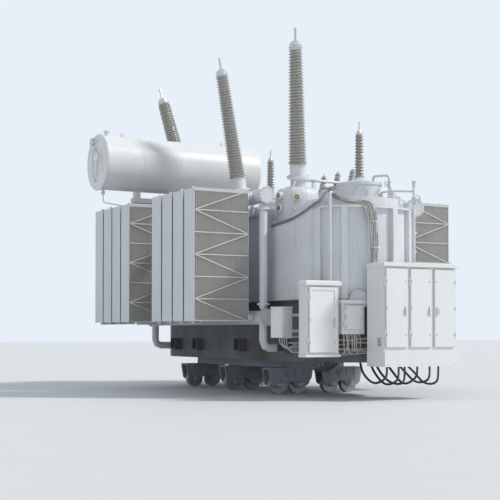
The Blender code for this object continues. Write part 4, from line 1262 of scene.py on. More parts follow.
@dataclass
class Tank:
    """The tank with its cover bolts, seams, inspection covers and wall fittings."""

    centre_x: float = 0.275
    end_ys: tuple[float, float] = (-2.7975, 3.5025)
    radius: float = 1.50
    top: float = 4.445
    rim: float = 4.22
    rim_thick: float = 0.045
    split: float = 2.18
    seam_z: float = 3.07
    bolt_gap: float = 0.145
    pocket: float = 0.69
    shoulder_x: float = -1.225
    shoulder_z: float = 3.865
    shoulder_reach: float = 3.0025
    shoulder_slope: float = 1.14
    shoulder_fall: float = 0.092
    rib_width: float = 0.14
    rib_depth: float = 0.10
    rib_angles: tuple[float, ...] = (33.5, 55.5, 77.5, 99.5, 121.5, 143.5)
    side_ribs: tuple[float, ...] = (-1.5975, -0.3975, 0.8025, 2.0025, 3.2025)

    def build(self) -> None:
        """Dresses the tank's solids and models what is bolted and welded to them."""
        cutters = self.seat_cutters()
        Piece("tank_wall", Palette.TANK, nodes=("upper_tank",)).finished(
            combined(self.wall(), cutters, "DIFFERENCE"))
        Piece("tank_cover_plate", Palette.TANK, nodes=("tank_cover",)).finished(joined(
            combined(layer, cutters, "DIFFERENCE")
            for layer in (self.plate(0.09, self.rim - self.rim_thick, self.rim),
                          self.plate(-0.17, self.rim - 0.01, self.top))))
        Piece("cover_feed_feet", Palette.TANK).finished(self.feed_feet())
        # The lower tank is painted dark for the shade under the radiators, with grime over it.
        Piece("tank_foot", Palette.SHADED_BELLY, nodes=("lower_tank",)).finished(
            self.plate(-0.16, 0.80, 2.1797))
        for cutter in cutters:
            bpy.data.objects.remove(cutter)
        Piece("tank_shoulder_rims", Palette.TANK).finished(self.shoulder_rims())
        dress_node("base_skid", Palette.GEAR)
        Piece("tank_cover_bolts", Palette.STEEL).finished(self.cover_bolts())
        Piece("tank_wall_seams", Palette.TANK).finished(self.seams())
        Piece("tank_wall_fittings", Palette.TANK).finished(self.fittings())
        Piece("tank_inspection_cover", Palette.PLATE).finished(self.inspection_cover())
        # The jacking lugs take the same painted shade as the lower tank.
        Piece("tank_jacking_lugs", Palette.SHADED_BELLY).finished(self.lugs())

    def outline(self, radius: float, gap: float) -> list[Vector]:
        """Evenly spaced points around the tank's plan.

        Args:
            radius: How far out from the tank's middle line they are.
            gap: About how far apart they are.

        Returns:
            The points, at z = 0.
        """
        run = self.end_ys[1] - self.end_ys[0]
        arc = max(1, round(pi * radius / gap))
        straight = max(1, round(run / gap))
        points = []
        for end, y in ((1, self.end_ys[1]), (-1, self.end_ys[0])):
            points += [at(self.centre_x + radius * end, y - end * run * (1 - i / straight), 0.0)
                       for i in range(straight)]
            points += [at(self.centre_x + radius * end * cos(pi * i / arc),
                          y + radius * end * sin(pi * i / arc), 0.0) for i in range(arc)]
        return points

    def on_end(self, angle: float, radius: float, z: float) -> tuple[Vector, Vector]:
        """A place on the tank's front end and the way out from its wall, as around() gives them."""
        return around((self.centre_x, self.end_ys[0]), angle, radius, z)

    def clear_of_turrets(self, place: Vector) -> bool:
        """Whether a place on the cover's rim is outside the cuts for the slanted turrets.

        Args:
            place: The place on the rim.

        Returns:
            True where nothing is cut away.
        """
        normal = SEATS.normal()
        for seat in SEATS.middles():
            away = place - seat
            if (away - normal * away.dot(normal)).length < self.pocket + 0.04:
                return False
        beyond = place.y < SEATS.ys[0] or place.y > SEATS.ys[-1]
        return not (beyond and self.shoulder(place) < place.z + 0.03)

    def shoulder(self, place: Vector) -> float:
        """The height of the cut-down shoulder over a place of the plan."""
        inward, beyond = place.x - self.shoulder_x, abs(place.y - SEATS.ys[1]) - self.shoulder_reach
        return self.shoulder_z + self.shoulder_slope * inward + self.shoulder_fall * beyond

    def feed_feet(self) -> Mesh:
        """Models the flanged feet of the upper collectors' feeds on the cover's rim.

        Returns:
            The four feet as one mesh.
        """
        foot = spun(((0.0, 0.078), (0.018, 0.078), (0.02, 0.045), (0.20, 0.045), (0.202, 0.072),
                     (0.2246, 0.072)), ORIGIN, UP, 16)
        return repeated(foot, [Matrix.Translation((x, y, self.rim)) for x in (-1.155, 1.705)
                               for y in (-0.9975, 2.6025)])

    def plate(self, reach: float, low: float, high: float) -> Mesh:
        """Models a layer of the tank that follows its plan at a distance from the wall."""
        middle = (self.centre_x, sum(self.end_ys) / 2)
        return stadium(middle, self.end_ys[1] - self.end_ys[0], self.radius + reach, low, high)

    def wall(self) -> Mesh:
        """Models the upper tank with its upright stiffeners.

        Returns:
            The wall and the stiffeners as one mesh, before its shoulders are cut.
        """
        top = self.rim - self.rim_thick
        wall = self.plate(0.0, self.split, top)
        half = self.rib_width / 2
        bars = []
        for end, y in ((-1, self.end_ys[0]), (1, self.end_ys[1])):
            for turn in map(radians, self.rib_angles):
                place = at(self.centre_x + end * self.radius * cos(turn),
                           y + end * self.radius * sin(turn), 0.0)
                bars.append((place, turn if end > 0 else turn + pi))
        bars += [(at(self.centre_x + side.value * self.radius, y, 0.0),
                  0.0 if side is Side.RIGHT else pi) for side in Side for y in self.side_ribs]
        ribs = repeated(block((-0.04, -half, self.split), (self.rib_depth, half, top), 0.006),
                        [Matrix.Translation(place) @ Matrix.Rotation(turn, 4, "Z") for place, turn in bars])
        combined(wall, [ribs], "UNION")
        bpy.data.objects.remove(ribs)
        return wall

    def seat_cutters(self) -> list[Mesh]:
        """Models the volumes over the slanted seats: round pockets, and the two cut-down shoulders.

        Returns:
            The volumes to take out of the wall and the cover.
        """
        cutters = [spun(((0.0, self.pocket), (1.1, self.pocket)), seat, SEATS.normal(), 48)
                   for seat in SEATS.middles()]
        for y, end in ((SEATS.ys[0], -1), (SEATS.ys[-1], 1)):
            low, high = sorted((y, y + end * 2.7))
            slab = block((-1.8, low, 3.2), (0.3, high, 4.9))
            corner = at(self.shoulder_x, y, 0.0)
            corner.z = self.shoulder(corner)
            cut = {"plane_co": corner, "plane_no": (-self.shoulder_slope, -self.shoulder_fall * end, 1.0)}
            cutters.append(edit(slab, lambda: bpy.ops.mesh.bisect(use_fill=True, clear_inner=True, **cut)))
        return cutters

    def shoulder_path(self, reach: float, lift: float, end: int) -> list[Vector]:
        """The edge of a cut-down shoulder, from beside the turret forward to the cover's rim.

        Args:
            reach: How far out from the wall it is.
            lift: How far above the cut.
            end: -1 for the front, 1 for the rear.

        Returns:
            The points of the edge.
        """
        radius = self.radius + reach
        y = self.end_ys[0] if end < 0 else self.end_ys[1]
        path = [at(self.centre_x - radius, y - end * back, 0.0) for back in (0.74, 0.50, 0.25)]
        path += [at(self.centre_x - radius * cos(radians(turn)),
                    y + end * radius * sin(radians(turn)), 0.0) for turn in range(0, 60, 3)]
        for point in path:
            point.z = self.shoulder(point) + lift
        return [point for point in path if point.z - lift < self.rim - 0.02]

    def shoulder_rims(self) -> Mesh:
        """Models the rounded edge of each cut-down shoulder, with its bolts.

        Returns:
            Both edges and their bolts as one mesh.
        """
        parts, places = [], []
        for end in (-1, 1):
            path = self.shoulder_path(0.01, 0.010, end)
            parts.append(pipe(path, 0.026, sides=8))
            places += [facing(point + at(0.07, 0.0, 0.085), (-0.75, 0.06 * end, 0.66))
                       for point in path[::2]]
        return joined([*parts, repeated(bolt(0.015), places)])

    def cover_bolts(self) -> Mesh:
        """Models the bolts around the cover's rim."""
        places = [at(p.x, p.y, self.rim) for p in self.outline(self.radius + 0.055, self.bolt_gap)]
        return repeated(bolt(0.017), [Matrix.Translation(p) for p in places if self.clear_of_turrets(p)])

    def seams(self) -> Mesh:
        """Models the weld bead around the wall and the lip along its lower edge.

        Returns:
            Both beads as one mesh.
        """
        parts = []
        for z, reach, thick in ((self.seam_z, 0.000, 0.005), (self.split + 0.02, 0.008, 0.016)):
            path = [at(p.x, p.y, z) for p in self.outline(self.radius + reach, 0.20)]
            parts.append(pipe([*path, path[0]], thick, sides=8))
        return joined(parts)

    def fittings(self) -> Mesh:
        """Models the wall's thin pipe, its clips and the cover's lifting bollards.

        Returns:
            The fittings as one mesh.
        """
        def beside(reach: float, z: float) -> Vector:
            """A place on the thin pipe's line down the wall."""
            return self.on_end(-16.0, self.radius + reach, z)[0]

        _, out = self.on_end(-16.0, self.radius, 0.0)
        foot, over = beside(0.16, 2.35), self.top + 0.07
        parts = [pipe((foot, beside(0.16, over), beside(-0.35, over)), 0.026, 0.10),
                 pipe((foot, beside(-0.02, 2.35)), 0.026)]
        for clip in (beside(0.16, z) for z in (2.9, 3.6, 4.2)):
            parts.append(pipe((clip, clip - out * 0.17), 0.012))
        for x in (-0.75, 1.30):
            for y in (-3.35, 4.05):
                up = (self.centre_x + (x - self.centre_x) * 0.9, y, self.top - 0.02)
                parts.append(spun(((0.0, 0.075), (0.12, 0.065), (0.12, 0.095), (0.15, 0.10), (0.165, 0.08)),
                                  up, UP, 20))
        return joined(parts)

    def inspection_cover(self) -> Mesh:
        """Models the bolted round cover low on the tank's front end."""
        place, out = self.on_end(6.0, self.radius + 0.05, 2.17)
        return joined(flange(place, out, 0.215, 0.03, 16, 0.013, 0.12))

    def lugs(self) -> Mesh:
        """Models the jacking lugs at the lower tank's corners, each a shelf on two ribs.

        Returns:
            The lugs as one mesh.
        """
        parts = []
        for side in (-1, 1):
            wall = self.centre_x + side * 1.335
            for y in (-2.45, -0.35, 1.95, 3.25):
                low, high = sorted((wall, wall + side * 0.20))
                parts.append(block((low, y - 0.16, 1.00), (high, y + 0.16, 1.04), 0.005))
                tip = high - 0.03 if side > 0 else high
                for rib in (y - 0.12, y + 0.12):
                    parts.append(block((low, rib - 0.012, 1.02), (tip, rib + 0.012, 1.30), 0.004))
        return joined(parts)


@dataclass
class CoverPipework:
    """The pipes, valves and gauges on the tank's cover and beside its front end."""

    tank: Tank = field(default_factory=Tank)

    def build(self) -> None:
        """Models the pipework."""
        Piece("cover_pipework", Palette.TANK).finished(self.pipes())
        Piece("cover_valves", Palette.STEEL).finished(self.valves())
        Piece("side_filter_drum", Palette.TANK).finished(self.drum())
        Piece("pot_inspection_covers", Palette.PLATE).finished(self.pot_covers())
        Piece("relay_pipe", Palette.TANK).finished(self.relay_pipe())

    def pipes(self) -> Mesh:
        """Models the pipe from the first pot to the valve post, and the mast at the rim.

        Returns:
            The pipes as one mesh.
        """
        mast, _ = self.tank.on_end(65.0, 1.64, 2.30)
        x, y = mast.x, mast.y
        parts = [pipe(path, radius, bend) for path, radius, bend in (
            (((1.42, -2.30, 5.02), (1.42, -2.30, 5.20), (1.66, -2.62, 5.20),
              (1.66, -2.62, 4.22)), 0.030, 0.09),
            (((1.66, -2.62, 4.80), (1.30, -3.20, 4.80), (1.30, -3.20, 4.44)), 0.024, 0.07),
            ((mast, (x, y, 4.74)), 0.030, 0.0),
            (((x, y, 4.62), (1.05, -3.75, 4.66), (0.85, -3.40, 4.66), (0.85, -3.40, 4.44)), 0.024, 0.08),
            (((x, y, 4.58), (1.80, -3.62, 4.60), (2.02, -3.30, 4.46)), 0.022, 0.10),
            (((0.12, -1.30, 4.44), (0.12, -1.30, 5.14), (1.20, -1.30, 5.14),
              (1.20, -1.30, 4.44)), 0.034, 0.10),
            (((0.35, -1.30, 5.14), (0.35, -1.30, 4.90), (0.35, 2.10, 4.90),
              (0.35, 2.10, 4.44)), 0.034, 0.10))]
        for z in (2.6, 3.4, 4.2):
            parts.append(pipe(((x, y, z), self.tank.on_end(65.0, 1.49, z)[0]), 0.014))
        return joined(parts)

    def valves(self) -> Mesh:
        """Models the valve bodies, hand wheels and pressure gauges.

        Returns:
            The valves as one mesh.
        """
        body = spun(((-0.07, 0.052), (-0.05, 0.052), (-0.05, 0.034), (0.05, 0.034), (0.05, 0.052),
                     (0.07, 0.052)), ORIGIN, UP, 16)
        stem = spun(((0.0, 0.012), (0.13, 0.012)), ORIGIN, (1, 0, 0), 8)
        wheel = loop((0.13, 0.0, 0.0), (0.0, pi / 2, 0.0), 0.055, 0.008, 18)
        spoke = block((0.124, -0.05, -0.006), (0.136, 0.05, 0.006), 0.003)
        master = joined([body, stem, wheel, spoke])
        mast, _ = self.tank.on_end(65.0, 1.64, 4.70)
        spots = [((1.66, -2.62, 4.98), 200), ((1.66, -2.62, 4.62), 330), ((1.30, -3.20, 4.62), 250),
                 ((mast.x, mast.y, 4.42), 300), ((0.85, -3.40, 4.56), 230), ((0.12, -1.30, 4.80), 180),
                 ((1.20, -1.30, 4.80), 0), ((0.35, 2.10, 4.66), 90)]
        places = [Matrix.Translation(spot) @ Matrix.Rotation(radians(turn), 4, "Z")
                  for spot, turn in spots]
        caps = spun(((0.0, 0.036), (0.09, 0.036), (0.10, 0.05), (0.13, 0.05), (0.14, 0.03)),
                    mast + at(0, 0, 0.02), UP, 16)
        return joined([repeated(master, places), caps])

    def drum(self) -> Mesh:
        """Models the drum ahead of the right collector, with the pipe that drops from it.

        Returns:
            The drum and its pipe as one mesh.
        """
        x, y, z = 2.085, -2.34, 4.572
        front = at(2.05, -3.10, 4.40)
        parts = [pipe(((x, y, z), (x, y - 0.22, z), (2.05, -2.85, 4.42), front), 0.10, 0.16, 20)]
        parts += flange(front, (-0.25, -0.97, 0.0), 0.225, 0.05, 16, 0.014, 0.16)
        foot = at(2.05, -3.02, 1.62)
        parts.append(pipe((front + at(0, 0.06, -0.05), foot, (1.48, -3.02, 1.62)), 0.045, 0.14, 14))
        for height in (3.78, 3.34, 2.30):
            parts.append(spun(((0.0, 0.085), (0.045, 0.085)), (2.05, -3.03, height), UP, 20))
        return joined(parts)

    def pot_covers(self) -> Mesh:
        """Models the round bolted cover on the wall of each large pot.

        Returns:
            The covers as one mesh.
        """
        parts = []
        out = at(-0.50, -0.866, 0.0)
        for y in SEATS.ys:
            place = at(1.215, y, 4.76) + out * 0.535
            parts += flange(place, out, 0.17, 0.03, 12, 0.012, 0.05)
        return joined(parts)

    def relay_pipe(self) -> Mesh:
        """Models the pipe from the conservator to the cover, with the relay in it.

        Returns:
            The pipe and the relay as one mesh.
        """
        path = ((0.10, 2.05, 4.44), (0.10, 2.05, 4.86), (0.10, 2.43, 4.98), (0.42, 2.43, 5.02),
                (0.42, 2.43, 5.16))
        parts = [pipe(path, 0.045, 0.10, 16)]
        parts.append(block((0.18, 2.36, 4.93), (0.34, 2.50, 5.08), 0.02, 2))
        parts.append(spun(((0.0, 0.05), (0.05, 0.05), (0.06, 0.03)), (0.26, 2.43, 5.08), UP, 16))
        return joined(parts)


@dataclass
class Cabling:
    """Cables clamped to the tank, from the turrets and the cover to the cabinets."""

    tank: Tank = field(default_factory=Tank)
    count: int = 15
    radius: float = 0.012
    spread: float = 0.014

    def build(self) -> None:
        """Models the two bundles, their clamps and the cables under the boxes."""
        pale, dark = self.wall_bundle()
        Piece("clamped_cables_pale", Palette.PALE_CABLE, smooth=60).finished(pale)
        Piece("clamped_cables_dark", Palette.CABLE, smooth=60).finished(dark)
        Piece("cable_clamps", Palette.STEEL).finished(self.clamps())
        Piece("turret_cables", Palette.CABLE, smooth=60).finished(self.turret_loops())
        Piece("box_cables", Palette.PALE_CABLE, smooth=60).finished(self.box_cables())
        Piece("foot_conduits", Palette.PALE_CABLE, smooth=60).finished(self.foot_runs())
        Piece("skid_cables", Palette.DARK, smooth=60).finished(self.skid_cables())

    def route(self, lane: int) -> list[Vector]:
        """One cable of the wall bundle, from the cover over the rim and down to the large cabinet.

        Args:
            lane: The cable's place across the bundle.

        Returns:
            The points of its path.
        """
        shift = (lane - (self.count - 1) / 2) * self.spread
        wave, other = sin(lane * 2.1), sin(lane * 3.7 + 1.0)
        angle = 57.3 * shift / self.tank.radius
        end = self.tank.on_end
        return [end(-40.0 + 2.0 * wave, 0.92, 4.70 - 0.02 * other)[0],
                end(-23.0 + 2.5 * other, 1.15 + 0.04 * wave, 4.63 + 0.03 * wave)[0],
                end(-12.0 + 2.5 * wave, 1.41 + 0.02 * other, 4.42 + 0.05 * other)[0],
                end(-1.0 + 1.5 * other, 1.44 + 0.03 * wave, self.tank.rim + 0.09 + 0.03 * wave)[0],
                end(11.0 + angle, 1.47 + 0.03 * wave, self.tank.rim + 0.08 + 0.03 * other)[0],
                end(13.5 + angle, 1.62 + 0.02 * wave, self.tank.rim - 0.02 + 0.02 * other)[0],
                end(15.5 + angle * 0.9, 1.655 + 0.02 * other, 3.98)[0],
                end(17.0 + angle * 0.7 + 0.5 * other, 1.645 + 0.02 * wave, 3.72)[0],
                end(17.8 + angle * 0.6 - 0.6 * wave, 1.64 + 0.015 * other, 3.44)[0],
                end(18.0 + angle * 0.6 + 0.5 * wave, 1.64 - 0.01 * wave, 3.14)[0],
                end(18.0 + angle * 0.6, 1.63, 2.86)[0],
                at(0.0 + shift * 0.7, -4.435, 2.55)]

    def smooth_run(self, points: Sequence[Vector], steps: int = 4) -> list[Vector]:
        """Runs a smooth curve through points.

        Args:
            points: The places that it passes.
            steps: How many pieces each span has.

        Returns:
            The curve's points.
        """
        ends = [points[0] * 2 - points[1], *points, points[-1] * 2 - points[-2]]
        run = [points[0]]
        for a, b, c, d in zip(ends, ends[1:], ends[2:], ends[3:]):
            for step in range(1, steps + 1):
                t = step / steps
                run.append(((b * 2) + (c - a) * t + (a * 2 - b * 5 + c * 4 - d) * t ** 2
                            + (b * 3 - a - c * 3 + d) * t ** 3) / 2)
        return run

    def wall_bundle(self) -> tuple[Mesh, Mesh]:
        """Models the bundle on the tank's front end, its pale and its dark cables apart.

        Returns:
            The pale cables and the dark cables.
        """
        sheaths: dict[bool, list[Mesh]] = {True: [], False: []}
        for lane in range(self.count):
            cable = pipe(self.smooth_run(self.route(lane)), self.radius, sides=8)
            sheaths[lane % 4 != 2].append(cable)
        return joined(sheaths[True]), joined(sheaths[False])

    def clamps(self) -> Mesh:
        """Models the straps that hold the wall bundle.

        Returns:
            The straps as one mesh.
        """
        parts = []
        for z, angle in ((3.86, 16.2), (3.30, 18.0)):
            wall, out = self.tank.on_end(angle, 1.58, z)
            across = at(-out.y, out.x, 0.0) * 0.095
            front = out * 0.095
            parts.append(pipe((wall - across, wall - across + front, wall + across + front, wall + across),
                              0.008, 0.02))
        return joined(parts)

    def turret_loops(self) -> Mesh:
        """Models the cables that hug the slanted seats of the turrets.

        Returns:
            The cables as one mesh.
        """
        normal, along = SEATS.normal(), SEATS.along()
        parts = []
        for seat in SEATS.middles():
            for lane in range(6):
                reach = 0.655 + 0.020 * (lane % 3)
                path = []
                for step in range(19):
                    turn = radians(-5 - 170 * step / 18)
                    path.append(seat + normal * (0.030 + 0.035 * (lane // 3)) + along * cos(turn) * reach
                                + at(0.0, sin(turn) * reach, 0.0))
                parts.append(pipe(path, 0.014, sides=8))
        for lane in range(7):
            out, lift = 0.035 - 0.022 * (lane % 3), 0.050 + 0.028 * (lane // 3)
            path = self.tank.shoulder_path(out, lift, -1)
            path += [self.tank.on_end(angle, radius + out, z + lift * 0.5)[0] for angle, radius, z in (
                (-26.0, 1.50, 4.30), (-23.0, 1.42, 4.46), (-21.0, 1.22, 4.60), (-17.0, 1.02, 4.64))]
            parts.append(pipe(self.smooth_run(path, 2), 0.013, sides=8))
        return joined(parts)

    def foot_runs(self) -> Mesh:
        """Models the conduits along the lower tank's front end and those from the small box.

        Returns:
            The conduits as one mesh.
        """
        parts = []
        for lane in range(6):
            path = [self.tank.on_end(angle, 1.39 + 0.025 * sin(lane + angle * 0.11),
                                     0.98 + 0.07 * lane + 0.035 * sin(lane * 2.3 + angle * 0.07))[0]
                    for angle in range(-80, 64, 9)]
            parts.append(pipe(self.smooth_run(path, 2), 0.012 + 0.005 * (lane % 3), sides=8))
        low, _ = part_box("small_box")
        for lane in range(4):
            x = low[0] + 0.16 + 0.06 * lane
            path = [at(x, -3.18, low[2] + 0.03), at(x, -3.20, low[2] - 0.12 - 0.02 * lane),
                    at(x + 0.12, -3.32, low[2] - 0.24 - 0.03 * lane),
                    self.tank.on_end(-58.0, 1.44, 1.08 + 0.05 * lane)[0],
                    self.tank.on_end(-44.0, 1.42, 1.00 + 0.05 * lane)[0]]
            parts.append(pipe(self.smooth_run(path), 0.014, sides=8))
        return joined(parts)

    def box_cables(self) -> Mesh:
        """Models the cables that fan out of the wall box and turn back to the lower tank.

        Returns:
            The cables as one mesh.
        """
        low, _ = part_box("wall_box_shell")
        parts = []
        for lane in range(9):
            x = low[0] + 0.12 + 0.05 * lane
            wave = 0.04 * sin(lane * 1.7)
            path = [at(x, low[1] + 0.14, low[2] + 0.02), at(x + wave, low[1] + 0.14, 1.22 + wave),
                    at(x + 0.05, low[1] + 0.20, 1.03 + wave), at(x + 0.06, low[1] + 0.36, 0.98),
                    at(x + 0.06, -3.95, 1.02)]
            parts.append(pipe(self.smooth_run(path), 0.011, sides=8))
        return joined(parts)

    def skid_cables(self) -> Mesh:
        """Models the dark cables below the cabinets, clamped along the lower tank's foot.

        Returns:
            The cables as one mesh.
        """
        parts = []
        for lane in range(5):
            x = -1.45 + 0.075 * lane
            path = [at(x, -4.10, 0.96), at(x + 0.02, -4.08, 0.72 - 0.02 * lane),
                    at(x + 0.25, -3.90, 0.64), at(x + 0.60, -3.70, 0.78),
                    at(x + 0.75, -3.30, 0.90)]
            parts.append(pipe(self.smooth_run(path), 0.017, sides=8))
        for lane, x in enumerate((0.05, 0.36, 0.52, 0.86, 1.20, 1.44)):
            path = [at(x, -4.72, 0.76), at(x, -4.66, 0.48 - 0.05 * (lane % 3)),
                    at(x - 0.05, -4.30, 0.36 - 0.03 * (lane % 2)), at(x - 0.08, -3.95, 0.56),
                    at(x * 0.8, -3.70, 0.88)]
            parts.append(pipe(self.smooth_run(path), 0.026, sides=10))
        return joined(parts)


@dataclass
class Conservator:
    """The oil drum across the rear, with its end cover, gauge and level pipe."""

    node: str = "conservator"
    radius: float = 0.69
    gauge_depth: float = 0.07
    rim_bolts: int = 36

    def build(self) -> None:
        """Dresses the drum and its supports and models the fittings."""
        Piece("conservator_drum", Palette.DRUM, Slot.CABINET, nodes=(self.node,)).finished(self.drum())
        dress_node("conservator_supports", Palette.DRUM)
        for part, finish, shape in (
                ("rim_bolts", Palette.STEEL, self.bolts), ("bands", Palette.DRUM, self.bands),
                ("dial", Palette.DIAL, self.dial), ("level_pipes", Palette.PLATE, self.level_pipes),
                ("marks", Palette.GLASS, self.marks)):
            Piece(f"conservator_{part}", finish, Slot.CABINET).finished(shape())

    def face(self) -> Vector:
        """The middle of the drum's left end cover."""
        low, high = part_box(self.node)
        return at(low[0] + self.gauge_depth, (low[1] + high[1]) / 2, (low[2] + high[2]) / 2)

    def drum(self) -> Mesh:
        """Models the drum with its flanged end cover, its dished end and the gauge's housing.

        Returns:
            The drum as one mesh.
        """
        face = self.face()
        r = self.radius
        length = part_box(self.node)[1][0] - face.x
        profile = [(0.0, r * 0.90), (0.0, r * 0.985), (0.004, r + 0.022), (0.012, r + 0.03),
                   (0.022, r + 0.03), (0.024, r + 0.016), (0.028, r + 0.016), (0.030, r + 0.03),
                   (0.048, r + 0.03), (0.05, r)]
        for turn in (pi / 2 * step / 6 for step in range(7)):
            profile.append((length - 0.13 + 0.13 * sin(turn),
                            r - 0.42 * r * (1 - cos(turn)) ** 1.3))
        cover = spun(profile, face, (1, 0, 0), 80)
        gauge = face + at(0.02, -0.05, 0.12)
        housing = spun(((0.0, 0.13), (0.07, 0.13), (0.085, 0.122), (0.09, 0.11)), gauge, (-1, 0, 0), 36)
        return joined([cover, housing])

    def bolts(self) -> Mesh:
        """Models the bolts around the end cover."""
        return repeated(bolt(0.013), ring_places(self.face() + at(0.004, 0, 0), (-1, 0, 0),
                                                 self.radius * 0.915, self.rim_bolts))

    def bands(self) -> Mesh:
        """Models the weld seams, the saddle bands and the lifting lugs.

        Returns:
            The bands and lugs as one mesh.
        """
        parts = []
        face = self.face()
        for reach, width, out in ((1.50, 0.012, 0.003), (3.00, 0.012, 0.003), (1.00, 0.09, 0.008),
                                  (3.66, 0.09, 0.008)):
            start = face + at(reach, 0.0, 0.0)
            radius = self.radius * 0.995
            parts.append(spun(((0.0, radius), (0.002, radius + out), (width, radius + out),
                               (width + 0.002, radius)), start, (1, 0, 0), 40))
        for reach in (0.7, 3.6):
            spot = face + at(reach, 0.0, self.radius)
            parts.append(block(spot - at(0.07, 0.012, 0.05), spot + at(0.07, 0.012, 0.10),
                               0.02, 2))
        spot = face + at(0.22, -0.10, self.radius * 0.97)
        parts.append(spun(((0.0, 0.06), (0.10, 0.06), (0.10, 0.09), (0.13, 0.09), (0.14, 0.07)),
                          spot, UP, 20))
        return joined(parts)

    def dial(self) -> Mesh:
        """Models the oil-level gauge's glass on its housing.

        Returns:
            The glass.
        """
        low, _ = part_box(self.node)
        centre = self.face() + at(low[0] - self.face().x, -0.05, 0.12)
        return spun(((0.0, 0.105), (0.008, 0.105), (0.012, 0.095), (0.012, 0.085), (0.009, 0.084)),
                    centre, (-1, 0, 0), 32)

    def level_pipes(self) -> Mesh:
        """Models the oval pipe loop on the end cover, the valve below and the round vent above.

        Returns:
            The pipes as one mesh.
        """
        face = self.face()
        loop = []
        for step in range(33):
            turn = tau * step / 32
            loop.append(face + at(-0.035, 0.10 + 0.16 * cos(turn), -0.05 + 0.42 * sin(turn)))
        parts = [pipe(loop, 0.014, sides=8)]
        for lift in (-0.47, 0.37):
            spot = face + at(-0.04, 0.10, lift)
            parts.append(pipe((spot, spot + at(0.06, 0.0, 0.0)), 0.02))
        vent = face + at(-0.02, 0.30, self.radius * 0.80)
        parts += flange(vent, (-1, 0, 0), 0.11, 0.03, 8, 0.010, 0.10)
        parts.append(pipe((vent + at(-0.02, -0.02, 0.0), vent + at(-0.02, -0.28, -0.03),
                           vent + at(0.01, -0.42, -0.02)), 0.018, 0.05))
        drop = face + at(0.14, -0.05, -self.radius * 0.985)
        parts.append(pipe((drop + at(0, 0, 0.05), drop - at(0, 0, 0.16)), 0.026))
        parts.append(spun(((0.0, 0.05), (0.07, 0.05)), drop - at(0, 0, 0.12), UP, 14))
        parts.append(pipe((drop - at(0, 0, 0.10), drop - at(0, 0, 0.34),
                           drop + at(0.95, -0.03, -0.45)), 0.014, 0.08))
        return joined(parts)

    def marks(self) -> Mesh:
        """Models the small dark plugs up the end cover and the gauge's pointer.

        Returns:
            The plugs and the pointer as one mesh.
        """
        face = self.face()
        plug = spun(((0.0, 0.013), (0.008, 0.012)), ORIGIN, UP, 10)
        places = [facing(face + at(0.001, -0.40 + 0.015 * i, -0.28 + 0.075 * i), (-1, 0, 0))
                  for i in range(8)]
        low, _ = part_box(self.node)
        centre = at(low[0] - 0.013, face.y - 0.05, face.z + 0.12)
        hand = block(centre - at(0.002, 0.004, 0.02), centre + at(0.002, 0.004, 0.07))
        return joined([repeated(plug, places), hand])


@dataclass
class CabinetDoor:
    """One hinged door: a pressed skin, a swing handle, locks and hinge covers."""

    body: str
    inset: bool = False
    border: float = 0.035
    border_height: float = 0.014
    skin: float = 0.004
    barrel: float = 0.030
    handle_height: float = 0.20
    hand: int = 1

    def build(self) -> None:
        """Dresses the leaf and models its skin and fittings."""
        dress_node(self.body, Palette.CABINET)
        Piece(f"{self.body}_skin", Palette.CABINET, Slot.CABINET, self.body).finished(self.pressed_skin())
        Piece(f"{self.body}_handle", Palette.STEEL, Slot.CABINET, self.body).finished(self.fittings())

    def leaf(self) -> tuple[Vector, Vector]:
        """The corners of the leaf itself, without its handle and barrels.

        Returns:
            The lowest and the highest corner.
        """
        low, high = (Vector(corner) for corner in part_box(self.body))
        if self.hand > 0:
            low.x += self.barrel
        else:
            high.x -= self.barrel
        low.y += self.barrel
        return low, high

    def pressed_skin(self) -> Mesh:
        """Models the door's raised face, or its raised border where the face is recessed.

        Returns:
            The face or the border.
        """
        low, high = self.leaf()
        edge, y = 0.004, low.y
        left, right, foot, top = low.x + edge, high.x - edge, low.z + edge, high.z - edge
        if not self.inset:
            return block((left, y - self.skin, foot), (right, y, top), 0.003)
        border = self.border * 2
        inner, outer = low.x + border, high.x - border
        return joined(block((x0, y - self.border_height, z0), (x1, y, z1), 0.004) for x0, z0, x1, z1 in (
            (left, foot, inner, top), (outer, foot, right, top),
            (inner, foot, outer, low.z + border), (inner, high.z - border, outer, top)))

    def fittings(self) -> Mesh:
        """Models the handle's plate and grip, the two locks and the hinge covers.

        Returns:
            The fittings as one mesh.
        """
        low, high = self.leaf()
        y = low.y - (self.border_height if self.inset else self.skin)
        free = high.x if self.hand > 0 else low.x
        hinge = low.x if self.hand > 0 else high.x
        x = free - self.hand * 0.060
        middle = low.z + (high.z - low.z) * 0.46
        half = self.handle_height / 2
        parts = [block((x - 0.022, y - 0.006, middle - half), (x + 0.022, y, middle + half), 0.004)]
        reach = half * 0.8
        parts.append(pipe(((x, y, middle + reach), (x - self.hand * 0.02, y - 0.036, middle + reach * 0.8),
                           (x - self.hand * 0.03, y - 0.036, middle - reach * 0.6), (x, y, middle - reach)),
                          0.008, 0.03))
        for share in (0.16, 0.84):
            z = low.z + (high.z - low.z) * share
            parts.append(spun(((0.0, 0.018), (0.006, 0.018), (0.009, 0.012)), (x, y, z), (0, -1, 0), 16))
            parts.append(block((x - 0.004, y - 0.016, z - 0.014), (x + 0.004, y - 0.006, z + 0.014), 0.002))
        for share in (0.16, 0.50, 0.84):
            z = low.z + (high.z - low.z) * share
            parts.append(spun(((-0.035, 0.009), (-0.031, 0.011), (0.031, 0.011), (0.035, 0.009)),
                              (hinge + self.hand * 0.012, y - 0.004, z), UP, 12))
        return joined(parts)


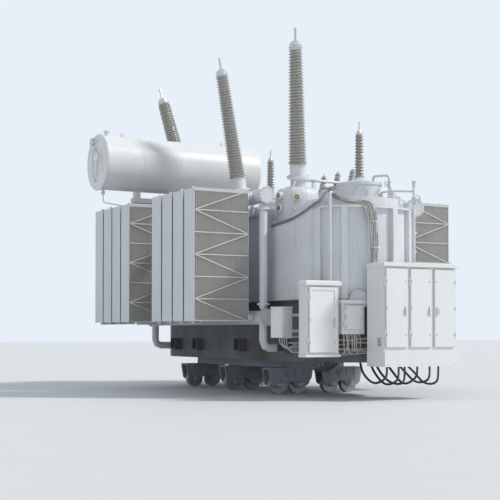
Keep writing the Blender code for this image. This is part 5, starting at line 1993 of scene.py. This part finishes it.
@dataclass
class Cabinets:
    """The control cabinets and boxes on the tank's front end."""

    shells: tuple[str, ...] = ("large_cabinet_shell", "medium_cabinet_shell", "wall_box_shell")
    roof_rises: tuple[float, ...] = (0.022, 0.030, 0.012)
    roof_backs: tuple[float, ...] = (-4.4375, -3.9775, -4.1175)
    box_turn: float = 15.8
    doors: tuple[CabinetDoor, ...] = (
        CabinetDoor("large_cabinet_door_1"), CabinetDoor("large_cabinet_door_2"),
        CabinetDoor("large_cabinet_door_3", hand=-1), CabinetDoor("medium_cabinet_door", inset=True),
        CabinetDoor("wall_box_door", handle_height=0.10))

    def build(self) -> None:
        """Dresses the shells and doors and models the trims."""
        for shell in self.shells:
            dress_node(shell, Palette.CABINET)
        for door in self.doors:
            door.build()
        Piece("small_terminal_box", Palette.CABINET, Slot.CABINET,
              nodes=("small_box",)).finished(self.terminal_box())
        for part, finish, shape in (
                ("trims", Palette.CABINET, self.trims), ("vents", Palette.DARK, self.vents),
                ("gaskets", Palette.DARK, self.gaskets), ("fixings", Palette.STEEL, self.fixings),
                ("linings", Palette.PLATE, self.linings)):
            Piece(f"cabinet_{part}", finish, Slot.CABINET).finished(shape())

    def terminal_box(self) -> Mesh:
        """Models the small box beside the riser: body, lid, raised front, hinges and wall bars.

        Returns:
            The box as one mesh.
        """
        low, high = (Vector(corner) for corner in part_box("small_box"))
        reach = (high.y - low.y) / 2
        side = reach / sqrt(2)
        centre = at(low.x + reach, (low.y + high.y) / 2, 0.0)
        foot, top, lid = low.z, high.z, side + 0.012
        box = joined(block(*corners) for corners in (
            ((-side, -side, foot), (side, side, top - 0.03), 0.008),
            ((-lid, -lid, top - 0.03), (lid, lid, top), 0.010),
            ((-side + 0.02, -lid, foot + 0.03), (side - 0.02, -side, top - 0.06), 0.004),
            ((-side - 0.010, -side + 0.03, foot + 0.05), (-side, side - 0.03, top - 0.08), 0.004),
            ((side - 0.05, -side - 0.018, foot + 0.12), (side - 0.03, -side, foot + 0.17), 0.003),
            ((side - 0.05, -side - 0.018, top - 0.18), (side - 0.03, -side, top - 0.13), 0.003)))
        box.matrix_world = Matrix.Translation(centre) @ Matrix.Rotation(radians(self.box_turn), 4, "Z")
        settle(box)
        bars = [block((centre.x + side * 0.5, centre.y - 0.03, low.z + lift - 0.03),
                      (high.x, centre.y + 0.03, low.z + lift + 0.03), 0.004) for lift in (0.15, 0.50)]
        return joined([box, *bars])

    def trims(self) -> Mesh:
        """Models the sloped roof caps, the gutters and the medium cabinet's foot.

        Returns:
            The trims as one mesh.
        """
        parts = []
        for name, rise, back in zip(self.shells, self.roof_rises, self.roof_backs):
            low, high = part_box(name)
            cap = block((low[0] + 0.004, low[1] + 0.004, high[2]), (high[0] - 0.004, back, high[2] + rise))

            def work(cap: Mesh = cap) -> None:
                """Draws the roof's top in, so that its sides slope."""
                pick(cap, "polygons", lambda face: face.normal.z > 0.9)
                bpy.ops.transform.resize(value=(0.90, 0.80, 1.0))

            parts.append(edit(cap, work))
        low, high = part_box("medium_cabinet_shell")
        parts.append(block((low[0] + 0.005, low[1] + 0.02, 0.935), (high[0] - 0.005, -3.97, 0.985), 0.008))
        low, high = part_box("large_cabinet_shell")
        for z in (1.045, 2.875):
            parts.append(block((low[0] + 0.026, low[1] + 0.062, z - 0.012),
                               (high[0] - 0.026, low[1] + 0.085, z + 0.012), 0.003))
        return joined(parts)

    def vents(self) -> Mesh:
        """Models the louvred vent low on the large cabinet's left side: dark strips of painted shade where
        its slots are.

        Returns:
            The louvres as one mesh.
        """
        low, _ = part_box("large_cabinet_shell")
        x = low[0] + 0.035
        # Painted shade: each dark strip stands for the shade inside one slot of the louvre.
        return joined(block((x - 0.002, -4.92, z), (x + 0.001, -4.80, z + 0.014))
                      for z in (1.17 + 0.030 * i for i in range(6)))

    def gaskets(self) -> Mesh:
        """Models the rubber seals in the gaps behind the doors.

        Returns:
            The seals as one mesh.
        """
        parts = []
        for door in self.doors:
            low, high = door.leaf()
            wide = 0.012
            left, right, foot, top = low.x + wide, high.x - wide, low.z + wide, high.z - wide
            for x0, z0, x1, z1 in ((left, foot, left + wide, top), (right - wide, foot, right, top),
                                   (left, foot, right, foot + wide), (left, top - wide, right, top)):
                parts.append(block((x0, high.y + 0.002, z0), (x1, high.y + 0.0095, z1)))
        return joined(parts)

    def fixings(self) -> Mesh:
        """Models the lifting eyes on the roofs and the bolts of the plinth.

        Returns:
            The eyes and bolts as one mesh.
        """
        low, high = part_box("large_cabinet_shell")
        eye = joined([loop((0.0, 0.0, 0.035), (pi / 2, 0.0, 0.0), 0.022, 0.006, 16),
                      spun(((0.0, 0.018), (0.010, 0.018)), ORIGIN, UP, 14)])
        eyes = repeated(eye, [Matrix.Translation((x, y, high[2] + 0.010))
                              for x in (low[0] + 0.14, high[0] - 0.14) for y in (low[1] + 0.14, -4.55)])
        bolts = [facing((low[0] + 0.10 + 0.30 * i, low[1] + 0.002, 0.78 + 0.20 * k), (0, -1, 0))
                 for i in range(7) for k in (0, 1)]
        return joined([eyes, repeated(bolt(0.009), bolts)])

    def linings(self) -> Mesh:
        """Models the mounting plates with rails and gear inside the cabinets.

        Returns:
            The plates and gear as one mesh.
        """
        parts = []
        for opening in frame["record"]["physics"]["openings"]:
            if "_bay" not in opening["name"]:
                continue
            low, high = (Vector(corner) for corner in opening["box_m"])
            back, height = high.y - 0.004, high.z - low.z
            left, right = low.x + 0.05, high.x - 0.05
            parts.append(block((left - 0.02, back - 0.012, low.z + 0.04),
                               (right + 0.02, back, high.z - 0.04)))
            rows = max(2, int(height / 0.30))
            for z in (low.z + 0.12 + (height - 0.20) * row / rows for row in range(rows)):
                parts.append(block((left, back - 0.022, z), (right, back - 0.012, z + 0.035)))
                for x in (left + 0.02 + 0.045 * unit for unit in range(int((high.x - low.x - 0.14) / 0.045))):
                    parts.append(block((x, back - 0.085, z - 0.03),
                                       (x + 0.036, back - 0.022, z + 0.065), 0.003))
        return joined(parts)


@dataclass
class RunningGear:
    """The six bogies: side plates, wheels, bosses and bolts."""

    wheel: float = 0.22
    pitch: float = 0.54
    width: float = 0.34
    plate: float = 0.035

    def build(self) -> None:
        """Models one bogie and copies it to the six places."""
        spots = []
        for row in ("front", "middle", "rear"):
            for side in Side:
                bogie = f"bogie_{row}_{side.name.lower()}"
                spots.append(Matrix.Translation((*middle_of(bogie), 0.0)))
                dress_node(bogie, Palette.GEAR)
        Piece("bogie_wheel_tyres", Palette.TREAD, Slot.GEAR).finished(repeated(self.tyres(), spots))
        Piece("bogie_plates", Palette.GEAR, Slot.GEAR).finished(repeated(self.side_fittings(), spots))
        Piece("bogie_bolts", Palette.TREAD, Slot.GEAR).finished(repeated(self.plate_bolts(), spots))

    def tyres(self) -> Mesh:
        """Models the rounded steel tyres with their guiding flanges, for one bogie.

        Returns:
            The tyres as one mesh.
        """
        parts = []
        outer = self.width / 2 - self.plate / 2
        for x in (-self.pitch / 2, self.pitch / 2):
            start = at(x, -0.075, self.wheel + 0.002)
            parts.append(spun(((0.0, 0.16), (0.0, self.wheel + 0.0015), (0.006, self.wheel + 0.0025),
                               (0.144, self.wheel + 0.0025), (0.15, self.wheel + 0.0015), (0.15, 0.16)),
                              start, (0, 1, 0), 40))
            for y in (-outer - self.plate / 2, outer + self.plate / 2):
                away = -1 if y < 0 else 1
                parts.append(spun(((0.0, 0.085), (0.02, 0.085), (0.03, 0.07), (0.03, 0.045), (0.045, 0.035)),
                                  (x, y - away * 0.002, self.wheel), (0, away, 0), 24))
        return joined(parts)

    def side_fittings(self) -> Mesh:
        """Models the boss, the ribs and the thickened edge on a bogie's side plates.

        Returns:
            The fittings as one mesh.
        """
        parts = []
        for away in (-1, 1):
            y = away * self.width / 2
            parts.append(spun(((0.0, 0.10), (0.018, 0.10), (0.024, 0.09), (0.024, 0.05), (0.034, 0.045)),
                              (0.0, y, 0.47), (0, away, 0), 28))
            near, far = sorted((y, y + away * 0.018))
            for x in (-0.36, -0.14, 0.14, 0.36):
                parts.append(block((x - 0.011, near, 0.42), (x + 0.011, far, 0.60), 0.004))
            parts.append(block((-0.575, near, 0.595), (0.575, far, 0.62), 0.004))
        return joined(parts)

    def plate_bolts(self) -> Mesh:
        """Models the bolts of one bogie's side plates.

        Returns:
            The bolts as one mesh.
        """
        places = []
        for away in (-1, 1):
            y = away * self.width / 2
            places += [facing((x, y, 0.52), (0, away, 0)) for x in (-0.49, -0.25, 0.25, 0.49)]
            places += [facing((x, y, self.wheel + 0.055), (0, away, 0)) for x in (-0.37, -0.17, 0.17, 0.37)]
        return repeated(bolt(0.014), places)


@dataclass
class TertiaryBushings:
    """The long box on the cover with three small bushings that lean outwards."""

    node: str = "tertiary_bushings"
    lean: float = 12.0
    length: float = 0.42
    sheds: int = 7
    places: tuple[float, ...] = (-1.2475, -0.5975, 0.0525)

    def build(self) -> None:
        """Dresses the box and models the porcelains over its posts."""
        dress_node(self.node, Palette.TANK)
        turn = radians(self.lean)
        axis = at(sin(turn), 0.0, cos(turn))
        glazes, caps = [], []
        for y in self.places:
            foot = at(1.455, y, 5.02) + axis * 0.038
            glazes.append(spun(shed_profile(self.length, self.sheds, 0.050, 0.042, (0.036, 0.030)),
                               foot, axis, 20))
            top = foot + axis * self.length
            caps.append(spun(((0.0, 0.046), (0.03, 0.046), (0.045, 0.02), (0.06, 0.012), (0.10, 0.012)),
                             top, axis, 14))
            caps.append(spun(((-0.03, 0.085), (0.0, 0.085), (0.008, 0.07), (0.02, 0.06)), foot, axis, 18))
        Piece("tertiary_porcelains", Palette.MV_GLAZE, Slot.MV, smooth=50).finished(joined(glazes))
        Piece("tertiary_caps", Palette.STEEL).finished(joined(caps))


@dataclass
class Studio:
    """The camera, the lights, the pale floor and the backdrop."""

    eye: Point = (-14.171, -24.149, 1.48)
    lens: float = 80.3
    heading: float = -VIEW_TURN
    tilt: float = 91.15
    lift: float = 0.118
    key_strength: float = 2.3
    key_angle: float = 9.0
    sky_strength: float = 0.62
    floor_size: float = 260.0

    def build(self) -> None:
        """Sets up the camera, the lights, the floor and the world."""
        self.add_camera()
        self.add_lights()
        self.add_floor()
        bpy.context.scene.view_settings.view_transform = "Standard"

    def add_camera(self) -> None:
        """Places the camera at the photograph's point of view."""
        data = bpy.data.cameras.new("camera")
        data.lens = self.lens
        data.sensor_width = 36.0
        data.shift_y = self.lift
        data.clip_end = 400.0
        camera = bpy.data.objects.new("camera", data)
        camera.location = self.eye
        camera.rotation_euler = (radians(self.tilt), 0.0, radians(self.heading))
        bpy.context.collection.objects.link(camera)
        bpy.context.scene.camera = camera

    def add_lights(self) -> None:
        """Adds a soft key light from the front right, and a cool even sky."""
        data = bpy.data.lights.new("key", "SUN")
        data.energy = self.key_strength
        data.angle = radians(self.key_angle)
        data.color = (1.0, 0.975, 0.94)
        key = bpy.data.objects.new("key", data)
        key.rotation_euler = at(0.60, -0.44, 0.67).to_track_quat("Z", "Y").to_euler()
        bpy.context.collection.objects.link(key)
        world = bpy.data.worlds.new("studio")
        world.use_nodes = True
        tree = world.node_tree
        sky = tree.nodes["Background"]
        sky.inputs["Color"].default_value = (0.84, 0.91, 1.0, 1.0)
        sky.inputs["Strength"].default_value = self.sky_strength
        white = tree.nodes.new("ShaderNodeBackground")
        white.inputs["Color"].default_value = (0.80, 0.87, 0.95, 1.0)
        mix = tree.nodes.new("ShaderNodeMixShader")
        path = tree.nodes.new("ShaderNodeLightPath")
        seen = add_math(tree, "ADD", path.outputs["Is Camera Ray"], path.outputs["Is Glossy Ray"])
        seen = add_math(tree, "ADD", seen, path.outputs["Is Transmission Ray"])
        tree.links.new(seen, mix.inputs["Fac"])
        tree.links.new(sky.outputs["Background"], mix.inputs[1])
        tree.links.new(white.outputs["Background"], mix.inputs[2])
        tree.links.new(mix.outputs["Shader"], tree.nodes["World Output"].inputs["Surface"])
        bpy.context.scene.world = world

    def add_floor(self) -> None:
        """Lays the pale floor."""
        clear_selection()
        bpy.ops.mesh.primitive_plane_add(size=self.floor_size, location=(0.0, 0.0, 0.0))
        floor = settle(bpy.context.active_object)
        floor.name = "studio_floor"
        finish = Finish("pale_floor", (0.70, 0.71, 0.71), dusty=0.03, streaked=0.0, roughness=(0.7, 0.8))
        floor.data.materials.append(Palette.get(finish))


def main() -> None:
    """Builds every sub-assembly in order."""
    logging.basicConfig(level=logging.INFO, format="%(message)s")
    Studio().build()
    for side in Side:
        for end in ("front", "rear"):
            RadiatorBank(end, side).build()
    for side in Side:
        CoolingPipes(side).build()
    for number in (1, 2, 3):
        HighVoltageBushing(number).build()
    for name in ("mv_1", "mv_2", "mv_3", "neutral"):
        SmallBushing(name).build()
    TertiaryBushings().build()
    Tank().build()
    CoverPipework().build()
    Cabling().build()
    Conservator().build()
    Cabinets().build()
    RunningGear().build()


if __name__ == "__main__":
    main()
